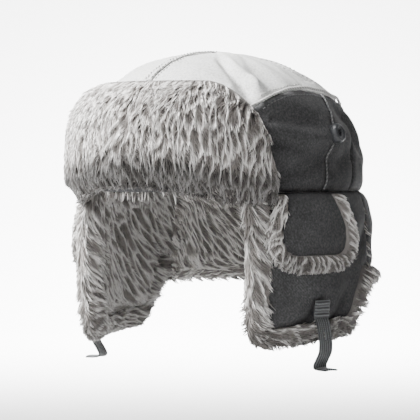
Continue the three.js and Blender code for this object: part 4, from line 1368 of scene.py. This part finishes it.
# %% Line the crown's edge
LINING_COLUMNS = 120
LINING_ROWS = 12
lining_angles = np.linspace(0, 360, LINING_COLUMNS, endpoint=False)
angle, z = np.meshgrid(lining_angles, np.linspace(0.00015, 0.03015, LINING_ROWS), indexing="ij")
behind = beside_crown(angle, z, -(0.0044 + waist_tuck(z)) - 0.0040 * smoothstep(z, 0, 0.015))
inside = beside_crown(angle, z, -0.0075 - 0.0070 * np.sin(math.pi * (0.25 + 0.5 * z / 0.03)))
lining_points = np.vstack([behind.reshape(-1, 3), inside.reshape(-1, 3)])
back_count = LINING_COLUMNS * LINING_ROWS
ring = grid_faces(LINING_COLUMNS, LINING_ROWS, loop=True)
foot = np.arange(LINING_COLUMNS) * LINING_ROWS
next_foot = np.roll(foot, -1)
lid = np.stack([foot + back_count, next_foot + back_count, next_foot, foot], axis=1)
lining_faces = np.vstack([ring, ring[:, ::-1] + back_count, lid, lid[:, ::-1] + LINING_ROWS - 1])
if signed_volume(lining_points, lining_faces) < 0:
    lining_faces = lining_faces[:, ::-1]
lining_skin = lining_points, lining_faces, lining_faces.min(axis=1) < back_count


def lining_nap(roots, normals):
    return spread(0 * roots[:, 0], 0.35, -1.0)


def lining_length(roots):
    return np.full(len(roots), 0.009)


make_fur(
    "crown_lining_pile", "crown_lining_fur", lining_skin, lining_nap, lining_length, 1500, 41,
    width=0.0016,
)

# %% [markdown]
# A snap button sits on each side seam. It was turned on a lathe in its mould, so here it is a profile
# of radii and heights carried round an axis: a rounded shoulder, a shallow dish, and a deep well in
# the middle that takes the stud. Its axis is the dome's own outward direction at that place.

# %% Snap on the buttons
BUTTON_PROFILE = np.array([
    # radius, height over the cloth, in metres
    (0.0, 0.0), (0.0066, 0.0), (0.0072, 0.0006), (0.0075, 0.0014), (0.00755, 0.0026),
    (0.0074, 0.0040), (0.0069, 0.0053), (0.0062, 0.0061), (0.0053, 0.0064), (0.0045, 0.0060),
    (0.0038, 0.0058), (0.0033, 0.0060), (0.0030, 0.0057), (0.0027, 0.0048), (0.0026, 0.0041),
    (0.0021, 0.0040), (0.0, 0.0041),
])


def make_turned(name, profile, centre, axis, material, sides=48):
    """A profile carried round an axis, closed at both ends where its radius is nothing."""
    aside = unit(np.cross(axis, np.array([0.0, 0.0, 1.0])))
    # a cubic through the profile's corners rounds them as moulding does
    steps = np.arange(len(profile), dtype=float)
    fine = np.linspace(0, len(profile) - 1, 3 * len(profile) - 2)
    radius = np.clip(read_curve(spread(steps, profile[:, 0]), fine), 0, None)
    height = read_curve(spread(steps, profile[:, 1]), fine)
    turn = np.linspace(0, 2 * math.pi, sides, endpoint=False)
    circle = circles(turn, aside[None], np.cross(axis, aside)[None])[0]
    inner = slice(1, -1)
    rings = centre + circle[:, None] * radius[None, inner, None] + axis * height[None, inner, None]
    count = len(fine) - 2
    points = np.vstack([rings.reshape(-1, 3), centre + axis * height[0], centre + axis * height[-1]])
    squares = grid_faces(sides, count, loop=True)
    first = np.arange(sides) * count
    after = np.roll(first, -1)
    ends = np.vstack([
        spread(first, after, len(points) - 2), spread(after + count - 1, first + count - 1, len(points) - 1),
    ])
    if signed_volume(points - centre, squares) < 0:
        squares, ends = squares[:, ::-1], ends[:, ::-1]
    return make_mesh(name, points, squares.tolist() + ends[:, ::-1].tolist(), material)


BUTTON_SEAT = 0.0006
for side, name in SIDES:
    angle = side * side_seam(button_share)
    place, beside, over = (
        crown_point(np.array(angle + da), np.array(button_turn + dt), 0.0)
        for da, dt in ((0, 0), (1, 0), (0, 0.01))
    )
    axis = unit(np.cross(beside - place, over - place))
    axis = axis * np.sign(axis @ (place - np.array([0, 0, 0.02])))
    button = make_turned(f"moulded_snap_{name}", BUTTON_PROFILE, place + axis * BUTTON_SEAT, axis, nylon)
    stands_for(button, "snap_plastic", f"snap_button_{name}")

# %% [markdown]
# A strap of webbing hangs from each ear flap. It is a flat strip, so its middle line carries it: a
# cubic through a few knots gives how far down the strap has fallen and how far out it bows, ending
# in a little flick. The eyelet that takes the button is a slot cut through the strip near its top,
# and a folded tab of the same webbing, sewn down in ribs, holds the strap to the flap.

# %% Hang the straps
STRAP_ANGLE = 77
STRAP_START = 0.084
STRAP_FALL = 0.047
STRAP_BOW = 0.009
STRAP_WIDTH = 0.014
STRAP_THICKNESS = 0.0016
STRAP_COURSE = np.array([
    # share of the fall, share of the bow
    (0, 0.04), (0.16, 0.04), (0.28, 0.36), (0.42, 0.62), (0.6, 0.9), (0.74, 0.92), (0.86, 0.6), (0.96, 0.36),
    (0.99, 0.62), (1, 1.6),
])
SLOT_LENGTH = 0.007
SLOT_WIDTH = 0.0026
SLOT_STATION = 7 / 18
TAB_HEIGHT = 0.013
TAB_THICKNESS = 0.0014
TAB_RIB = 0.0009


def strap_path(side):
    """The middle line of a strap, at even steps along it, with its directions."""
    knot = np.arange(len(STRAP_COURSE), dtype=float)
    fine = np.linspace(0, knot[-1], 240)
    fall = read_curve(spread(knot, STRAP_COURSE[:, 0]), fine)
    bow = read_curve(spread(knot, STRAP_COURSE[:, 1]), fine)
    line = flap_point(side * STRAP_ANGLE, -STRAP_START - STRAP_FALL * fall, 0.0015 + STRAP_BOW * bow)
    travelled = travelled_on(line)
    even = np.linspace(0, travelled[-1], 73)
    path = read_path(even, travelled, line)
    a = math.radians(side * STRAP_ANGLE)
    across = unit(np.array([HALF_WIDTH * math.cos(a), HALF_DEPTH * math.sin(a), 0.0]))
    face = unit(np.cross(np.gradient(path, axis=0), across))
    face = face * np.sign((face[:8] @ np.array([math.sin(a), -math.cos(a), 0])).mean())
    return even, path, across, face


def slot_edge(ray):
    """Where rays from a slot's middle meet its outline: two straight sides and two round ends."""
    radius = SLOT_WIDTH / 2
    straight = SLOT_LENGTH / 2 - radius
    reach = radius / np.maximum(np.abs(ray[:, 1]), 1e-9)
    along = np.abs(ray[:, 0])
    # beyond the straight part: the far root of |t ray - (straight, 0)| = radius
    size = (ray**2).sum(1)
    inside_root = np.maximum((along * straight) ** 2 - size * (straight**2 - radius**2), 0)
    root = along * straight + np.sqrt(inside_root)
    return ray * np.where(reach * along <= straight, reach, root / size)[:, None]


def slotted_strip(length, slot_at):
    """A flat strip with a slot, as (along, across) places and faces: rows, and rings round the slot."""
    columns = np.linspace(-0.5, 0.5, 13) * STRAP_WIDTH
    rows = np.linspace(0, length, 61)
    low = rows[rows < slot_at - SLOT_LENGTH * 0.8][-1]
    high = rows[rows > slot_at + SLOT_LENGTH * 0.8][0]
    places, faces = [], []
    for part in (rows[rows <= low + 1e-9], rows[rows >= high - 1e-9]):
        faces.append(grid_faces(len(part), 13, start=sum(len(p) for p in places)))
        places.append(spread(part[:, None], columns).reshape(-1, 2))
    middle = rows[(rows > low + 1e-9) & (rows < high - 1e-9)]
    border = np.vstack([
        spread(low, columns), spread(middle, columns[-1]), spread(high, columns[::-1]),
        spread(middle[::-1], columns[0]),
    ])
    centre = np.array([slot_at, 0.0])
    hole = centre + slot_edge(border - centre)
    share = np.linspace(0, 1, 5)[None, :, None]
    rings = border[:, None] * (1 - share) + hole[:, None] * share
    faces.append(grid_faces(len(border), 5, start=sum(len(p) for p in places), loop=True)[:, ::-1])
    places.append(rings.reshape(-1, 2))
    places, faces = np.vstack(places), np.vstack(faces)
    # the parts share their borders, so equal places become one
    found, index = np.unique(np.round(places, 7), axis=0, return_inverse=True)
    return found, index.ravel()[faces]


def thicken(points, outward, thickness, faces):
    """Two copies of a sheet, half the thickness to each side, joined by walls along its open edges."""
    both = np.vstack([points + outward * thickness / 2, points - outward * thickness / 2])
    edges = np.vstack([faces[:, [k, (k + 1) % 4]] for k in range(4)])
    known = set(map(tuple, edges.tolist()))
    open_edges = np.array([edge for edge in edges.tolist() if (edge[1], edge[0]) not in known])
    walls = np.stack([
        open_edges[:, 1], open_edges[:, 0], open_edges[:, 0] + len(points), open_edges[:, 1] + len(points),
    ], axis=1)
    return both, np.vstack([faces, faces[:, ::-1] + len(points), walls])


for side, name in SIDES:
    even, path, across, face = strap_path(side)
    flat, strip_faces = slotted_strip(even[-1], even[-1] * SLOT_STATION)
    centre = read_path(flat[:, 0], even, path)
    outward = unit(read_path(flat[:, 0], even, face))
    from_middle = np.abs(flat[:, 1]) * 2 / STRAP_WIDTH
    selvedge = 1 - 0.45 * from_middle**8
    curl = 0.0008 * from_middle**2 * np.sin(flat[:, 0] * 90)
    strip = centre + across * flat[:, 1:] + outward * curl[:, None]
    solid, solid_faces = thicken(strip, outward, (STRAP_THICKNESS * selvedge)[:, None], strip_faces)
    if signed_volume(solid, solid_faces) < 0:
        solid_faces = solid_faces[:, ::-1]
    strap = make_mesh(f"webbing_strap_{name}", solid, solid_faces, webbing)
    lay_uv(strap.data, np.vstack([flat[:, ::-1]] * 2))
    stands_for(strap, "webbing", f"strap_{name}")

    row = np.linspace(0, 6, 49)
    z = -STRAP_START + TAB_HEIGHT * (0.3 - row / 6)
    bow = np.interp((-STRAP_START - z) / STRAP_FALL, STRAP_COURSE[:, 0], STRAP_COURSE[:, 1])
    seat = flap_point(side * STRAP_ANGLE, z, 0.0026 + STRAP_BOW * np.maximum(bow, 0))
    lift = TAB_THICKNESS + TAB_RIB * np.sin(row * math.pi / 2) ** 2
    half = np.linspace(-1, 1, 15)
    a = math.radians(side * STRAP_ANGLE)
    away = np.array([math.sin(a), -math.cos(a), 0])
    round_over = 1 - 0.4 * np.abs(half) ** 8
    inner = seat[None] + half[:, None, None] * across * (STRAP_WIDTH + 0.001) / 2
    outer = inner + away * (lift[None, :] * round_over[:, None])[..., None]
    tab = make_shell(f"ribbed_tab_{name}", outer, inner, spread(z, half[:, None] * STRAP_WIDTH / 2), webbing)
    stands_for(tab, "webbing", f"strap_tab_{name}")
    print(f"  strap {name}: {even[-1] * 1000:.0f} mm long")
